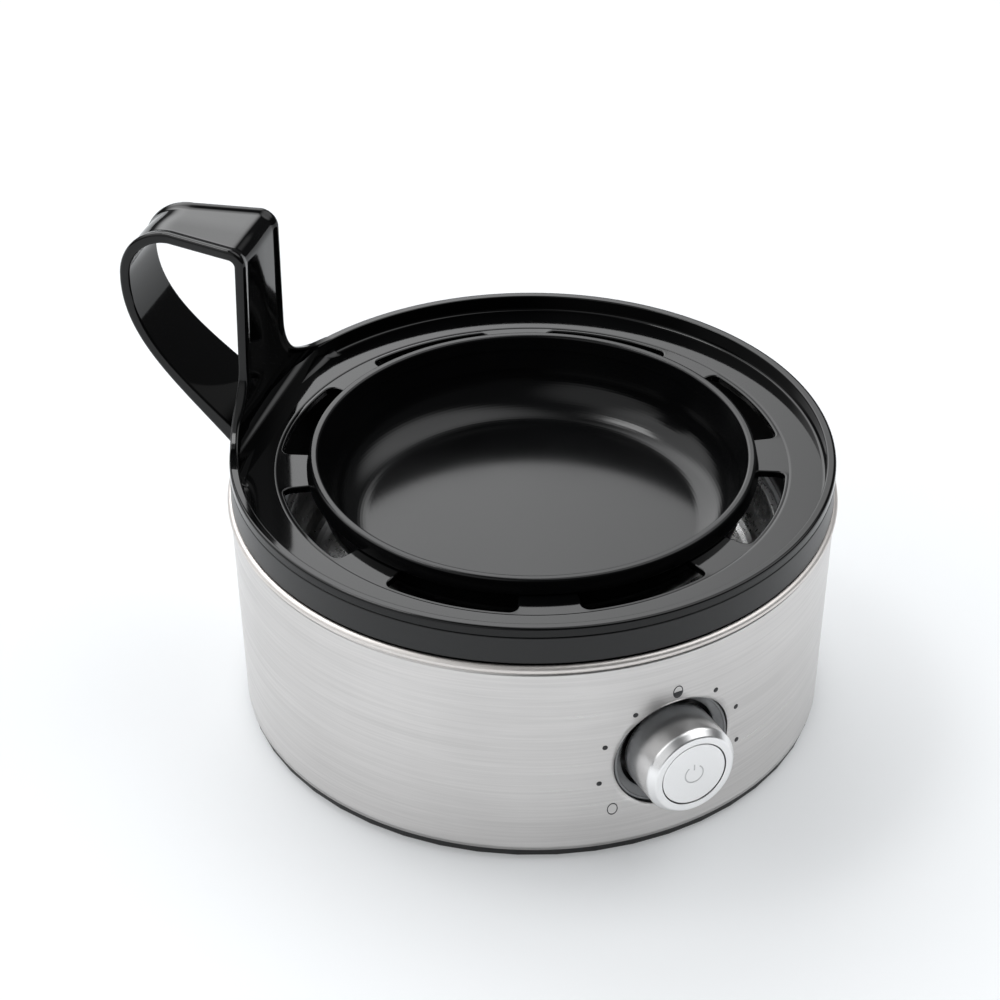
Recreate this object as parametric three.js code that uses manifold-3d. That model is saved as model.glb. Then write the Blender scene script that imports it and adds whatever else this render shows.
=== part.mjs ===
import * as THREE from "three";
import { mergeVertices } from "three/addons/utils/BufferGeometryUtils.js";
import Module from "manifold-3d";

// A round countertop egg boiler: steel body with a dial, lift-out tray ring with a looped handle,
// and a poaching bowl. Millimetres, +Z up, feet on z = 0, the dial faces -Y.

const wasm = await Module();
wasm.setup();

// Angles are named in degrees, and radii are measured from the body's upright axis
const degree = Math.PI / 180;
const quarterTurn = 90;
const halfTurn = 180;
const fullTurn = 360;

// Clearances and fineness that several pieces share
const seatGap = 0.3;
const runningGap = 0.3;
const overrun = 2;
const mergeDistance = 0.0001;
const bodySegments = 48;
const partSegments = 32;
const smallSegments = 14;
const arcSteps = 5;
const roundSteps = 2;
const cornerRounds = 4;

// Steel body, whose top radius sets the radii of all that is in it and on it
const wallTopRadius = 90.3;
const wallTaper = 2.3;
const wallHeight = 65.7;
const steelThickness = 0.7;
const hemWidth = 2;
const beadHeight = 2.65;
const beadProud = 0.9;
const beadLowAngle = -62;

// Base cover, feet and tie screws
const footRise = 1.3;
const footRadius = 7;
const footSink = 0.9;
const footInset = 18;
const footCount = 4;
const coverInset = 0.5;
const coverEdgeHeight = 2.3;
const coverRound = 0.5;
const fenceThickness = 1.6;
const fenceHeight = 8;
const ventCount = 8;
const ventInner = 24;
const ventMargin = 15;
const ventWidth = 3.2;
const tieInset = 7;
const tieAzimuth = 45;
const tieCount = 4;
const tieRadius = 1.3;
const tieHeadRadius = 2.5;
const tieHeadHeight = 1.1;
const tieHeadSink = 0.3;
const tieBite = 12;
const pillarRadius = 2.6;
const pillarHeight = 26;

// Upper collar, with the funnel that carries the heating dish
const collarInset = 0.3;
const collarGap = 0.75;
const collarHeight = 8.75;
const collarRound = 0.35;
const skirtGap = 0.7;
const skirtThickness = 1.8;
const skirtDepth = 7;
const mouthInset = 13.6;
const funnelDrop = 16;
const funnelLip = 2.7;
const funnelWall = 2.7;
const lipWidth = 5;
const lipThickness = 2;

// Tray ring
const trayRimHeight = 2.95;
const trayRimWidth = 2.8;
const trayRimRound = 0.8;
const trayWallDepth = 4.75;
const trayPlateDrop = 0.3;
const trayPlateThickness = 2.2;
const trayLipWidth = 3;
const trayLipDrop = 0.25;
const trayStepWall = 1.2;
const slotInset = 15;
const traySlotRound = 2.4;
const tabLength = 9.7;
const tabCount = 8;
const tabHalfAngle = 7.2;
const tabAzimuth = -23.5;
const trayUnderGap = 0.5;

// Looped strap handle of the tray ring: a flat post whose foot flares along the ring's wall
const handleAzimuth = 134.5;
const postInset = 3.8;
const handleRise = 56.4;
const postCorner = 3.4;
const handleOut = 34.5;
const endWidth = 14.5;
const endHeight = 15.1;
const strapThickness = 2.6;
const strapFootThickness = 4.4;
const strapFootCurve = 3;
const strapRim = 0.7;
const strapRimWidth = 3.4;
const strapEdge = 0.6;
const postHalfWidth = 15.2;
const cornerHalfWidth = 13.9;
const endHalfWidth = 10.5;
const footHalfWidth = 14.5;
const flareWidth = 24;
const flareHeight = 20;
const flareInset = 0.2;
const diagonalFootInset = 0.6;
const diagonalFootDrop = 6.5;
const diagonalTopShare = 0.33;
const diagonalFootShare = 0.42;
const diagonalFootAngle = 42;
const postSteps = 12;
const postCrowding = 1.6;
const cornerSteps = 4;
const strapTopSteps = 3;
const endSteps = 8;
const diagonalSteps = 10;

// Poaching bowl
const bowlInset = 8.65;
const bowlRimWidth = 2.5;
const bowlRimDrop = 0.4;
const bowlRimRound = 0.7;
const bowlShoulder = 0.95;
const bowlWall = 1.2;
const bowlDepth = 24;
const bowlCorner = 13;
const bowlDraft = 1.5;
const bowlSeatGap = 0.3;

// Heating dish, its seal and what heats it
const dishInset = 3.4;
const dishThickness = 0.8;
const dishCorner = 12;
const dishDepth = 15;
const dishRidgeWidth = 1.6;
const dishRidgeHeight = 0.8;
const dishFlangeGap = 0.6;
const sealThickness = 1.5;
const sealInset = 0.5;
const heatPlateInset = 21;
const heatPlateThickness = 2.9;
const studRadius = 2.5;
const studLength = 13;
const elementInset = 12;
const elementRadius = 3.3;
const elementAzimuth = 90;
const elementLegAngle = 12;
const elementBendAngle = 10;
const elementLegLength = 12;
const elementSteps = 40;
const elementArcPoints = 15;
const clampSpare = 6;
const clampWidth = 14;
const clampThickness = 1.2;
const nutWidth = 8;
const nutHeight = 4;
const nutSides = 6;
const thermostatRadius = 8;
const thermostatHeight = 6;
const thermostatShare = 0.52;
const thermostatPinRadius = 1.2;
const thermostatPinLength = 5;
const thermostatPinPlace = 4.5;
const fuseRadius = 2.2;
const fuseLength = 13;
const fuseShare = 0.5;

// Mains inlet and wiring
const inletHeight = 22;
const inletHoleRadius = 6.3;
const inletFlangeRadius = 9;
const inletFlangeThickness = 2;
const inletBackRadius = 8.4;
const inletBackThickness = 1.8;
const inletBoreRadius = 3.9;
const blockWidth = 20;
const blockDepth = 10;
const blockHeight = 12;
const blockInset = 22;
const blockEntryRadius = 2;
const blockEntryDepth = 4;
const leadRadius = 1.2;
const leadSpacing = 10;
const leadHeight = 6;
const leadSides = 8;
const leadSteps = 14;
const leadLowShare = 0.3;
const leadHighShare = 0.85;

// Dial, its button, its light ring and the electronics behind them
const dialShare = 0.4505;
const dialRadius = 14.2;
const dialProud = 10.3;
const dialRoundWidth = 1.9;
const dialRoundDepth = 2.9;
const dialWall = 1.8;
const dialCupDepth = 10;
const dialFloorThickness = 2;
const dialHubRadius = 6;
const dialHubLength = 2;
const ringHoleRadius = 18.7;
const ringEdgeGap = 0.4;
const ringInnerRadius = 15.3;
const ringNeck = 1.7;
const ringFlangeThickness = 2;
const ringFlangeRadius = 21.4;
const ringFlangeGap = 0.5;
const buttonRadius = 10.1;
const buttonGap = 0.3;
const buttonSink = 0.15;
const buttonThickness = 2.5;
const buttonSkirt = 2;
const buttonSkirtLength = 3.5;
const buttonRound = 0.4;
const buttonTravel = 1.2;
const stemRadius = 1.5;
const shaftRadius = 3;
const shaftBoreRadius = 1.9;
const encoderWidth = 13;
const encoderDepth = 5.3;
const encoderNeckRadius = 4.6;
const encoderNeckLength = 3.4;
const boardSetback = 4.2;
const boardThickness = 1.6;
const boardWidth = 48;
const boardBottom = 8;
const boardTopGap = 3.4;
const boardHoleRadius = 1.9;
const switchWidth = 8;
const switchDepth = 4.5;
const plungerRadius = 1.3;
const plungerLength = 3.7;
const plungerSpare = 0.5;
const guideWidth = 5;
const guideDepth = 5;
const guideGrip = 2.5;
const guideHeight = 22;

// Parts on the rear side of the board: how far across, their share of its height and their sizes
const transformer = { across: -11.5, share: 0.227, width: 20, height: 17, depth: 15 };
const relay = { across: 12, share: 0.239, width: 15, height: 18, depth: 13 };
const capacitor = { across: -15, share: 0.59, radius: 4, depth: 11 };
const buzzer = { across: 15, share: 0.59, radius: 5, depth: 7 };

// Radii that follow from the steel body's, from the outside in
const wallFootRadius = wallTopRadius - wallTaper;
const footCircle = wallFootRadius - footInset;
const ventOuter = footCircle - footRadius - ventMargin;
const collarRadius = wallTopRadius - collarInset;
const skirtRadius = wallTopRadius - steelThickness - skirtGap;
const tieCircle = collarRadius - tieInset;
const funnelMouth = collarRadius - mouthInset;
const rimInnerRadius = collarRadius - trayRimWidth;
const stepRadius = rimInnerRadius + trayStepWall;
const collarBore = stepRadius + runningGap;
const postRadius = collarRadius - postInset;
const handleReach = collarRadius + handleOut;
const diagonalFootRadius = collarRadius - diagonalFootInset;
const traySlotRadius = collarRadius - slotInset;
const tabTipRadius = traySlotRadius - tabLength;
const bowlRimRadius = traySlotRadius - bowlInset;
const bowlShoulderRadius = bowlRimRadius + bowlShoulder;
const dishRadius = funnelMouth - dishInset;
const heatPlateRadius = dishRadius - heatPlateInset;
const elementCircle = heatPlateRadius - elementInset;
const clampLength = 2 * (elementCircle + clampSpare);
const blockRadius = wallFootRadius - blockInset;

// Heights that follow from the sizes above, from the feet up
const coverBottom = footRise;
const coverTop = coverBottom + coverEdgeHeight;
const wallBottom = coverTop + seatGap;
const wallTop = wallBottom + wallHeight;
const beadTop = wallTop + beadHeight;
const collarBottom = beadTop + collarGap;
const collarTop = collarBottom + collarHeight;
const trayBottom = collarTop + seatGap;
const trayTop = trayBottom + trayRimHeight;
const plateTop = trayTop - trayWallDepth;
const tabTop = plateTop - trayPlateDrop - trayLipDrop;
const plateUnder = tabTop - trayPlateThickness;
const shelfTop = plateUnder - trayUnderGap;
const bowlTop = trayTop - bowlRimDrop;
const funnelBottom = shelfTop - funnelDrop;
const lipBottom = funnelBottom - funnelLip;
const sealTop = lipBottom - seatGap;
const flangeTop = sealTop - sealThickness - seatGap;
const dishTop = flangeTop + dishRidgeHeight;
const dishFloor = dishTop - dishDepth;
const heatPlateTop = dishFloor - dishThickness - seatGap;
const heatPlateUnder = heatPlateTop - heatPlateThickness;
const elementHeight = heatPlateUnder - 2 * seatGap - elementRadius;
const clampTop = elementHeight - elementRadius - seatGap;
const pillarTop = coverTop + pillarHeight;
const bossBottom = pillarTop + seatGap;
const screwHeadTop = coverBottom + tieHeadSink + tieHeadHeight;
const dialHeight = wallBottom + dialShare * wallHeight;
const boardHeight = flangeTop - dishThickness - boardTopGap - boardBottom;

// Distances along the dial's axis that follow, from the body's axis outward
const flangeReach = wallRadius(dialHeight) - steelThickness - ringFlangeGap;
const ringFlangeFront = Math.sqrt(flangeReach ** 2 - ringFlangeRadius ** 2);
const ringFront = ringFlangeFront + ringNeck;
const ringBack = ringFlangeFront - ringFlangeThickness;
const dialBack = ringFlangeFront - seatGap;
const dialFront = wallTopRadius + dialProud;
const dialFloor = dialFront - dialCupDepth;
const boardFront = ringBack - boardSetback;
const boardRear = boardFront - boardThickness - seatGap;
const plungerFront = boardFront + seatGap;

// Outer radius of the steel wall at a height
function wallRadius(height) {
  return wallFootRadius + (wallTaper * (height - wallBottom)) / wallHeight;
}

// Geometry that is closed, has its faces pointing out and holds only positions
function closed(geometry) {
  geometry.deleteAttribute("normal");
  geometry.deleteAttribute("uv");
  const merged = mergeVertices(geometry, mergeDistance);
  const corners = merged.index.array;
  const place = merged.getAttribute("position");
  const a = new THREE.Vector3();
  const b = new THREE.Vector3();
  const c = new THREE.Vector3();
  const kept = [];
  let volume = 0;
  for (let i = 0; i < corners.length; i += 3) {
    const [p, q, r] = [corners[i], corners[i + 1], corners[i + 2]];
    if (p !== q && q !== r && r !== p) {
      kept.push(p, q, r);
      a.fromBufferAttribute(place, p);
      b.fromBufferAttribute(place, q);
      c.fromBufferAttribute(place, r);
      volume += a.dot(b.cross(c));
    }
  }
  merged.setIndex(volume < 0 ? kept.reverse() : kept);
  return merged;
}

// Solid for joining and cutting, from a closed geometry
function solid(geometry) {
  const shape = closed(geometry);
  const vertProperties = new Float32Array(shape.getAttribute("position").array);
  const triVerts = new Uint32Array(shape.index.array);
  return new wasm.Manifold(new wasm.Mesh({ numProp: 3, vertProperties, triVerts }));
}

// Geometry of a finished solid
function geometryOf(body) {
  const mesh = body.getMesh();
  const geometry = new THREE.BufferGeometry();
  geometry.setAttribute("position", new THREE.BufferAttribute(new Float32Array(mesh.vertProperties), 3));
  geometry.setIndex(new THREE.BufferAttribute(new Uint32Array(mesh.triVerts), 1));
  return geometry;
}

// Profile point: distance from the axis and height along it
function at(radius, height) {
  return new THREE.Vector2(radius, height);
}

// Points on an elliptic arc of a profile, angles in degrees from the outward direction
function bend(radius, height, across, up, from, to, steps = roundSteps) {
  const points = [];
  for (let i = 0; i <= steps; i += 1) {
    const angle = (from + ((to - from) * i) / steps) * degree;
    points.push(at(radius + across * Math.cos(angle), height + up * Math.sin(angle)));
  }
  return points;
}

// Profile turned about the +Z axis: it starts and ends on the axis, or closes on itself
function revolve(points, segments = bodySegments) {
  const onAxis = points[0].x === 0 && points[points.length - 1].x === 0;
  const outline = onAxis ? points : [...points, points[0].clone()];
  return new THREE.LatheGeometry(outline, segments).rotateX(Math.PI / 2);
}

// Upright cylinder between two heights
function rod(radius, bottom, top, segments = smallSegments) {
  const geometry = new THREE.CylinderGeometry(radius, radius, top - bottom, segments);
  return geometry.rotateX(Math.PI / 2).translate(0, 0, (top + bottom) / 2);
}

// Upright tube between two heights
function tube(outer, inner, bottom, top, segments = smallSegments) {
  return revolve([at(inner, bottom), at(outer, bottom), at(outer, top), at(inner, top)], segments);
}

// Outline extruded upward from a height
function prism(shape, bottom, height) {
  const settings = { depth: height, bevelEnabled: false, curveSegments: arcSteps };
  return new THREE.ExtrudeGeometry(shape, settings).translate(0, 0, bottom);
}

// Slot outline with round ends, along +X from one radius to another
function slotShape(inner, outer, width) {
  const shape = new THREE.Shape();
  shape.absarc(inner + width / 2, 0, width / 2, Math.PI / 2, 1.5 * Math.PI, false);
  shape.absarc(outer - width / 2, 0, width / 2, -Math.PI / 2, Math.PI / 2, false);
  return shape;
}

// Copies of a geometry turned about the body axis, one for each step of a circle
function around(count, firstAzimuth, make) {
  const copies = [];
  for (let i = 0; i < count; i += 1) {
    const azimuth = (firstAzimuth + (fullTurn * i) / count) * degree;
    copies.push(make(i).rotateZ(azimuth));
  }
  return copies;
}

// Upright rods on a circle, the first at the azimuth of the tie screws
function rodsAround(count, circle, radius, bottom, top) {
  return around(count, tieAzimuth, () => rod(radius, bottom, top).translate(circle, 0, 0));
}

function joined(first, others) {
  return others.reduce((whole, other) => whole.add(solid(other)), first);
}

function cut(first, others) {
  return others.reduce((whole, other) => whole.subtract(solid(other)), first);
}

// Pieces round the dial are drawn with +Z out of the body, and turned to face -Y here
function facingDial(geometry) {
  return geometry.rotateX(Math.PI / 2).translate(0, 0, dialHeight);
}

// Steel wall with an inward hem at its foot and a rolled bead at its top
function steelShell() {
  const beadRadius = wallTopRadius + beadProud;
  const beadMiddle = wallTop + beadHeight / 2;
  const beadReach = beadProud + steelThickness;
  const beadHub = beadRadius - beadReach;
  const outline = [
    at(wallFootRadius - hemWidth, wallBottom),
    at(wallFootRadius, wallBottom),
    at(wallTopRadius, wallTop),
    ...bend(beadHub, beadMiddle, beadReach, beadHeight / 2, beadLowAngle, quarterTurn, cornerRounds),
    at(wallTopRadius - steelThickness, beadTop),
    at(wallTopRadius - steelThickness, wallTop),
    at(wallFootRadius - steelThickness, wallBottom + steelThickness),
    at(wallFootRadius - hemWidth, wallBottom + steelThickness),
  ];
  const depth = hemWidth + overrun;
  const dialHole = rod(ringHoleRadius, dialBack - depth, dialFront, partSegments);
  const inletHole = rod(inletHoleRadius, wallFootRadius - depth, wallTopRadius + overrun);
  inletHole.rotateX(-Math.PI / 2).translate(0, 0, inletHeight);
  return geometryOf(cut(solid(revolve(outline)), [facingDial(dialHole), inletHole]));
}

// Base plate with a fence inside the hem, screw pillars, board guides, vents and foot recesses
function baseCover() {
  const edge = wallFootRadius - coverInset;
  const fenceOuter = wallFootRadius - hemWidth - seatGap;
  const fenceInner = fenceOuter - fenceThickness;
  const outline = [
    at(0, coverBottom),
    ...bend(edge - coverRound, coverBottom + coverRound, coverRound, coverRound, -quarterTurn, 0),
    at(edge, coverTop),
    at(fenceOuter, coverTop),
    at(fenceOuter, coverTop + fenceHeight),
    at(fenceInner, coverTop + fenceHeight),
    at(fenceInner, coverTop),
    at(0, coverTop),
  ];
  const low = coverBottom - overrun;
  const inPlate = coverBottom + coverEdgeHeight / 2;
  const pillars = rodsAround(tieCount, tieCircle, pillarRadius, inPlate, pillarTop);
  const screwHoles = rodsAround(tieCount, tieCircle, tieRadius + seatGap, low, pillarTop + overrun);
  const headHoles = rodsAround(tieCount, tieCircle, tieHeadRadius + seatGap, low, screwHeadTop + seatGap);
  const footTop = coverBottom + footSink + seatGap;
  const footHoles = rodsAround(footCount, footCircle, footRadius + seatGap, low, footTop);
  const vent = slotShape(ventInner, ventOuter, ventWidth);
  const vents = around(ventCount, 0, () => prism(vent, low, coverEdgeHeight + 2 * overrun));
  const plate = joined(solid(revolve(outline)), [...pillars, ...boardGuides()]);
  return geometryOf(cut(plate, [...screwHoles, ...headHoles, ...footHoles, ...vents]));
}

// Two upright guides that grip the side edges of the board
function boardGuides() {
  const rear = boardFront - boardThickness;
  const middle = (boardFront + rear) / 2;
  const slotDepth = boardThickness + 2 * seatGap;
  const bottom = coverTop - coverEdgeHeight / 2;
  return [-1, 1].map((side) => {
    const guide = new THREE.BoxGeometry(guideWidth, guideDepth, guideHeight);
    const inner = boardWidth / 2 - guideGrip;
    guide.translate(side * (inner + guideWidth / 2), -middle, bottom + guideHeight / 2);
    const slotHeight = bottom + guideHeight + overrun - (boardBottom - seatGap);
    const slot = new THREE.BoxGeometry(2 * (guideGrip + seatGap), slotDepth, slotHeight);
    slot.translate(side * inner, -middle, boardBottom - seatGap + slotHeight / 2);
    return geometryOf(solid(guide).subtract(solid(slot)));
  });
}

function foot() {
  return rod(footRadius, 0, coverBottom + footSink, partSegments);
}

// Pan-head screw that runs up through a pillar into the collar's boss
function tieScrew() {
  const tip = bossBottom + tieBite;
  return revolve([
    at(0, coverBottom + tieHeadSink),
    at(tieHeadRadius, coverBottom + tieHeadSink),
    at(tieHeadRadius, screwHeadTop),
    at(tieRadius, screwHeadTop),
    at(tieRadius, tip - tieRadius),
    at(0, tip),
  ], smallSegments);
}

// Points of the funnel's upper face, from the tray's seat down to its mouth
function funnelFace() {
  return [
    at(collarBore, collarTop),
    at(collarBore, shelfTop),
    at(collarBore - seatGap - trayStepWall, shelfTop),
    at(funnelMouth, funnelBottom),
    at(funnelMouth, lipBottom),
  ];
}

// Black collar: outer band, skirt inside the steel, funnel, flange lip and screw bosses
function upperCollar() {
  const slope = (collarBore - seatGap - trayStepWall - funnelMouth) / funnelDrop;
  const lipTop = lipBottom + lipThickness;
  const underRadius = (height) => funnelMouth + funnelWall + slope * (height - funnelBottom);
  const skirtInner = skirtRadius - skirtThickness;
  const crease = funnelBottom + (skirtInner - funnelMouth - funnelWall) / slope;
  const outline = [
    at(collarRadius, collarBottom),
    ...bend(collarRadius - collarRound, collarTop - collarRound, collarRound, collarRound, 0, quarterTurn),
    ...funnelFace(),
    at(funnelMouth + lipWidth, lipBottom),
    at(funnelMouth + lipWidth, lipTop),
    at(underRadius(lipTop), lipTop),
    at(skirtInner, crease),
    at(skirtInner, collarBottom - skirtDepth),
    at(skirtRadius, collarBottom - skirtDepth),
    at(skirtRadius, collarBottom),
  ];
  const space = [at(0, lipBottom - overrun), at(funnelMouth, lipBottom - overrun), ...funnelFace().reverse()];
  space.push(at(collarBore, collarTop + overrun), at(0, collarTop + overrun));
  const bosses = rodsAround(tieCount, tieCircle, pillarRadius, bossBottom, crease);
  const holeTop = bossBottom + tieBite + overrun;
  const holes = rodsAround(tieCount, tieCircle, tieRadius + seatGap, bossBottom - overrun, holeTop);
  const whole = joined(solid(revolve(outline)), bosses);
  return geometryOf(cut(whole, [revolve(space), ...holes]));
}

// Pressed dish for the water, with a ridge inside its flange
function heatingDish() {
  const outer = dishRadius + dishThickness;
  const flangeRadius = tieCircle - pillarRadius - dishFlangeGap;
  const corner = dishFloor + dishCorner;
  const hub = dishRadius - dishCorner;
  const outerCorner = dishCorner + dishThickness;
  return revolve([
    at(0, dishFloor - dishThickness),
    ...bend(hub, corner, outerCorner, outerCorner, -quarterTurn, 0, cornerRounds),
    at(outer, flangeTop - dishThickness),
    at(flangeRadius, flangeTop - dishThickness),
    at(flangeRadius, flangeTop),
    at(dishRadius + dishRidgeWidth + seatGap, flangeTop),
    at(dishRadius + dishRidgeWidth, dishTop),
    at(dishRadius + seatGap, dishTop),
    at(dishRadius, flangeTop),
    ...bend(hub, corner, dishCorner, dishCorner, 0, -quarterTurn, cornerRounds),
    at(0, dishFloor),
  ], partSegments);
}

function dishSeal() {
  const inner = dishRadius + dishRidgeWidth + 2 * sealInset;
  const outer = tieCircle - pillarRadius - dishFlangeGap - sealInset;
  return tube(outer, inner, sealTop - sealThickness, sealTop, bodySegments);
}

// Aluminium plate with the stud that clamps the element
function heatPlate() {
  return revolve([
    at(0, heatPlateUnder - studLength),
    at(studRadius, heatPlateUnder - studLength),
    at(studRadius, heatPlateUnder),
    at(heatPlateRadius, heatPlateUnder),
    at(heatPlateRadius, heatPlateTop),
    at(0, heatPlateTop),
  ], partSegments);
}

// Point on the element's circle, at an azimuth and a height
function onElement(azimuth, height) {
  const angle = azimuth * degree;
  return new THREE.Vector3(elementCircle * Math.cos(angle), elementCircle * Math.sin(angle), height);
}

// Sheathed ring element whose two cold ends turn down
function heatingElement() {
  const legEnd = elementHeight - elementLegLength;
  const first = elementAzimuth + elementLegAngle + elementBendAngle;
  const sweep = fullTurn - 2 * (elementLegAngle + elementBendAngle);
  const points = [
    onElement(elementAzimuth + elementLegAngle, legEnd),
    onElement(elementAzimuth + elementLegAngle, elementHeight - elementLegLength / 2),
  ];
  for (let i = 0; i <= elementArcPoints; i += 1) {
    points.push(onElement(first + (sweep * i) / elementArcPoints, elementHeight));
  }
  points.push(onElement(elementAzimuth - elementLegAngle, elementHeight - elementLegLength / 2));
  points.push(onElement(elementAzimuth - elementLegAngle, legEnd));
  return sweptRod(new THREE.CatmullRomCurve3(points), elementRadius, elementSteps);
}

// Round rod along a curve, with closed ends
function sweptRod(curve, radius, steps) {
  const section = new THREE.Shape();
  for (let i = 0; i < leadSides; i += 1) {
    const angle = (2 * Math.PI * i) / leadSides;
    const [x, y] = [radius * Math.cos(angle), radius * Math.sin(angle)];
    if (i === 0) section.moveTo(x, y);
    else section.lineTo(x, y);
  }
  return new THREE.ExtrudeGeometry(section, { steps, extrudePath: curve, bevelEnabled: false });
}

// Pressed bar that holds the element against the plate
function clampBar() {
  const bottom = clampTop - clampThickness;
  const bar = prism(slotShape(-clampLength / 2, clampLength / 2, clampWidth), bottom, clampThickness);
  const hole = rod(studRadius + seatGap, bottom - overrun, clampTop + overrun);
  return geometryOf(cut(solid(bar), [hole]));
}

function clampNut() {
  const top = clampTop - clampThickness - seatGap;
  const across = nutWidth / Math.sqrt(3);
  const nut = rod(across, top - nutHeight, top, nutSides);
  const hole = rod(studRadius + seatGap, top - nutHeight - overrun, top + overrun);
  return geometryOf(cut(solid(nut), [hole]));
}

// Disc thermostat with two pins
function thermostat() {
  const top = heatPlateUnder - seatGap;
  const bottom = top - thermostatHeight;
  const middle = bottom + thermostatHeight / 2;
  const pins = [-1, 1].map((side) => rod(thermostatPinRadius, bottom - thermostatPinLength, middle)
    .translate(side * thermostatPinPlace, 0, 0));
  return geometryOf(joined(solid(rod(thermostatRadius, bottom, top)), pins));
}

function thermalFuse() {
  const fuse = rod(fuseRadius, -fuseLength / 2, fuseLength / 2);
  return fuse.rotateY(Math.PI / 2).translate(0, 0, heatPlateUnder - seatGap - fuseRadius);
}

// Bush in the rear of the steel wall, where a mains lead enters
function cordGrommet() {
  const wall = wallRadius(inletHeight);
  const flangeBack = wall + seatGap;
  const backFront = wall - steelThickness - seatGap - inletBackRadius ** 2 / (2 * wall);
  const neck = inletHoleRadius - seatGap;
  const bush = revolve([
    at(inletBoreRadius, backFront - inletBackThickness),
    at(inletBackRadius, backFront - inletBackThickness),
    at(inletBackRadius, backFront),
    at(neck, backFront),
    at(neck, flangeBack),
    at(inletFlangeRadius, flangeBack),
    at(inletFlangeRadius - seatGap, flangeBack + inletFlangeThickness / 2),
    at(inletBoreRadius + inletFlangeThickness / 2, flangeBack + inletFlangeThickness),
    at(inletBoreRadius, flangeBack + inletFlangeThickness),
  ], smallSegments);
  return bush.rotateX(-Math.PI / 2).translate(0, 0, inletHeight);
}

// Screw terminal block with an entry for each lead
function terminalBlock() {
  const bottom = coverTop + seatGap;
  const block = new THREE.BoxGeometry(blockWidth, blockDepth, blockHeight);
  block.translate(0, blockRadius, bottom + blockHeight / 2);
  const entries = [-1, 1].map((side) => rod(blockEntryRadius, -blockEntryDepth, blockEntryDepth)
    .rotateX(Math.PI / 2)
    .translate((side * leadSpacing) / 2, blockRadius - blockDepth / 2, bottom + leadHeight));
  return geometryOf(cut(solid(block), entries));
}

// Lead from the terminal block up to a cold end of the element
function heaterLead(side) {
  const bottom = coverTop + seatGap + leadHeight;
  const legEnd = elementHeight - elementLegLength - seatGap;
  const legFoot = onElement(elementAzimuth - side * elementLegAngle, legEnd);
  const entry = blockRadius - blockDepth / 2 + blockEntryDepth / 2;
  const start = new THREE.Vector3((side * leadSpacing) / 2, entry, bottom);
  const between = (share, height) => new THREE.Vector3(
    THREE.MathUtils.lerp(start.x, legFoot.x, share),
    THREE.MathUtils.lerp(start.y, legFoot.y, share),
    height,
  );
  const route = new THREE.CatmullRomCurve3([
    start,
    between(leadLowShare, bottom),
    between(leadHighShare, THREE.MathUtils.lerp(bottom, legFoot.z, leadLowShare)),
    between(1, THREE.MathUtils.lerp(bottom, legFoot.z, leadHighShare)),
    legFoot,
  ]);
  return sweptRod(route, leadRadius, leadSteps);
}

// Clear ring round the dial, with a flange behind the steel wall
function lightRing() {
  const outer = ringHoleRadius - ringEdgeGap;
  return revolve([
    at(ringInnerRadius, ringBack),
    at(ringFlangeRadius, ringBack),
    at(ringFlangeRadius, ringFlangeFront),
    at(outer, ringFlangeFront),
    at(outer, ringFront),
    at(ringInnerRadius, ringFront),
  ], partSegments);
}

// Dial: rounded cup with a floor, a hub for its shaft and a chamber for the button
function dialKnob() {
  const chamber = buttonRadius + buttonGap;
  const floorTop = dialFloor + dialFloorThickness;
  const hubBore = shaftRadius + seatGap;
  return revolve([
    at(dialRadius - dialWall, dialBack),
    at(dialRadius, dialBack),
    ...bend(dialRadius - dialRoundWidth, dialFront - dialRoundDepth, dialRoundWidth, dialRoundDepth, 0,
      quarterTurn, cornerRounds),
    at(chamber, dialFront),
    at(chamber, floorTop),
    at(hubBore, floorTop),
    at(hubBore, dialFloor - dialHubLength),
    at(dialHubRadius, dialFloor - dialHubLength),
    at(dialHubRadius, dialFloor),
    at(dialRadius - dialWall, dialFloor),
  ], partSegments);
}

function dialShaft() {
  const front = dialFloor + dialFloorThickness - seatGap;
  return tube(shaftRadius, shaftBoreRadius, boardFront + 2 * seatGap, front);
}

// Button disc with a skirt and the stem that reaches the switch
function powerButton() {
  const front = dialFront - buttonSink;
  const back = front - buttonThickness;
  const skirtEnd = back - buttonSkirtLength;
  return revolve([
    at(0, boardFront + 2 * seatGap),
    at(stemRadius, boardFront + 2 * seatGap),
    at(stemRadius, back),
    at(buttonRadius - buttonSkirt, back),
    at(buttonRadius - buttonSkirt, skirtEnd),
    at(buttonRadius, skirtEnd),
    ...bend(buttonRadius - buttonRound, front - buttonRound, buttonRound, buttonRound, 0, quarterTurn),
    at(0, front),
  ], partSegments);
}

// Rotary encoder on the board: square body and round neck, both bored for the shaft
function dialEncoder() {
  const back = boardFront + seatGap;
  const middle = back + encoderDepth / 2;
  const front = back + encoderDepth + encoderNeckLength;
  const body = new THREE.BoxGeometry(encoderWidth, encoderWidth, encoderDepth).translate(0, 0, middle);
  const neck = rod(encoderNeckRadius, middle, front);
  const bore = rod(shaftRadius + runningGap, back - overrun, front + overrun);
  return geometryOf(cut(joined(solid(body), [neck]), [bore]));
}

// Upright circuit board behind the dial
function controlBoard() {
  const board = new THREE.BoxGeometry(boardWidth, boardHeight, boardThickness);
  board.translate(0, boardBottom + boardHeight / 2 - dialHeight, boardFront - boardThickness / 2);
  const hole = rod(boardHoleRadius, boardFront - boardThickness - overrun, boardFront + overrun);
  return geometryOf(cut(solid(board), [hole]));
}

// Tact switch behind the board, with a bore for its plunger
function pushSwitch() {
  const body = new THREE.BoxGeometry(switchWidth, switchWidth, switchDepth);
  body.translate(0, 0, boardRear - switchDepth / 2);
  const boreEnd = plungerFront - plungerLength - buttonTravel - plungerSpare;
  const bore = rod(plungerRadius + runningGap, boreEnd, boardRear + overrun);
  return geometryOf(cut(solid(body), [bore]));
}

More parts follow.
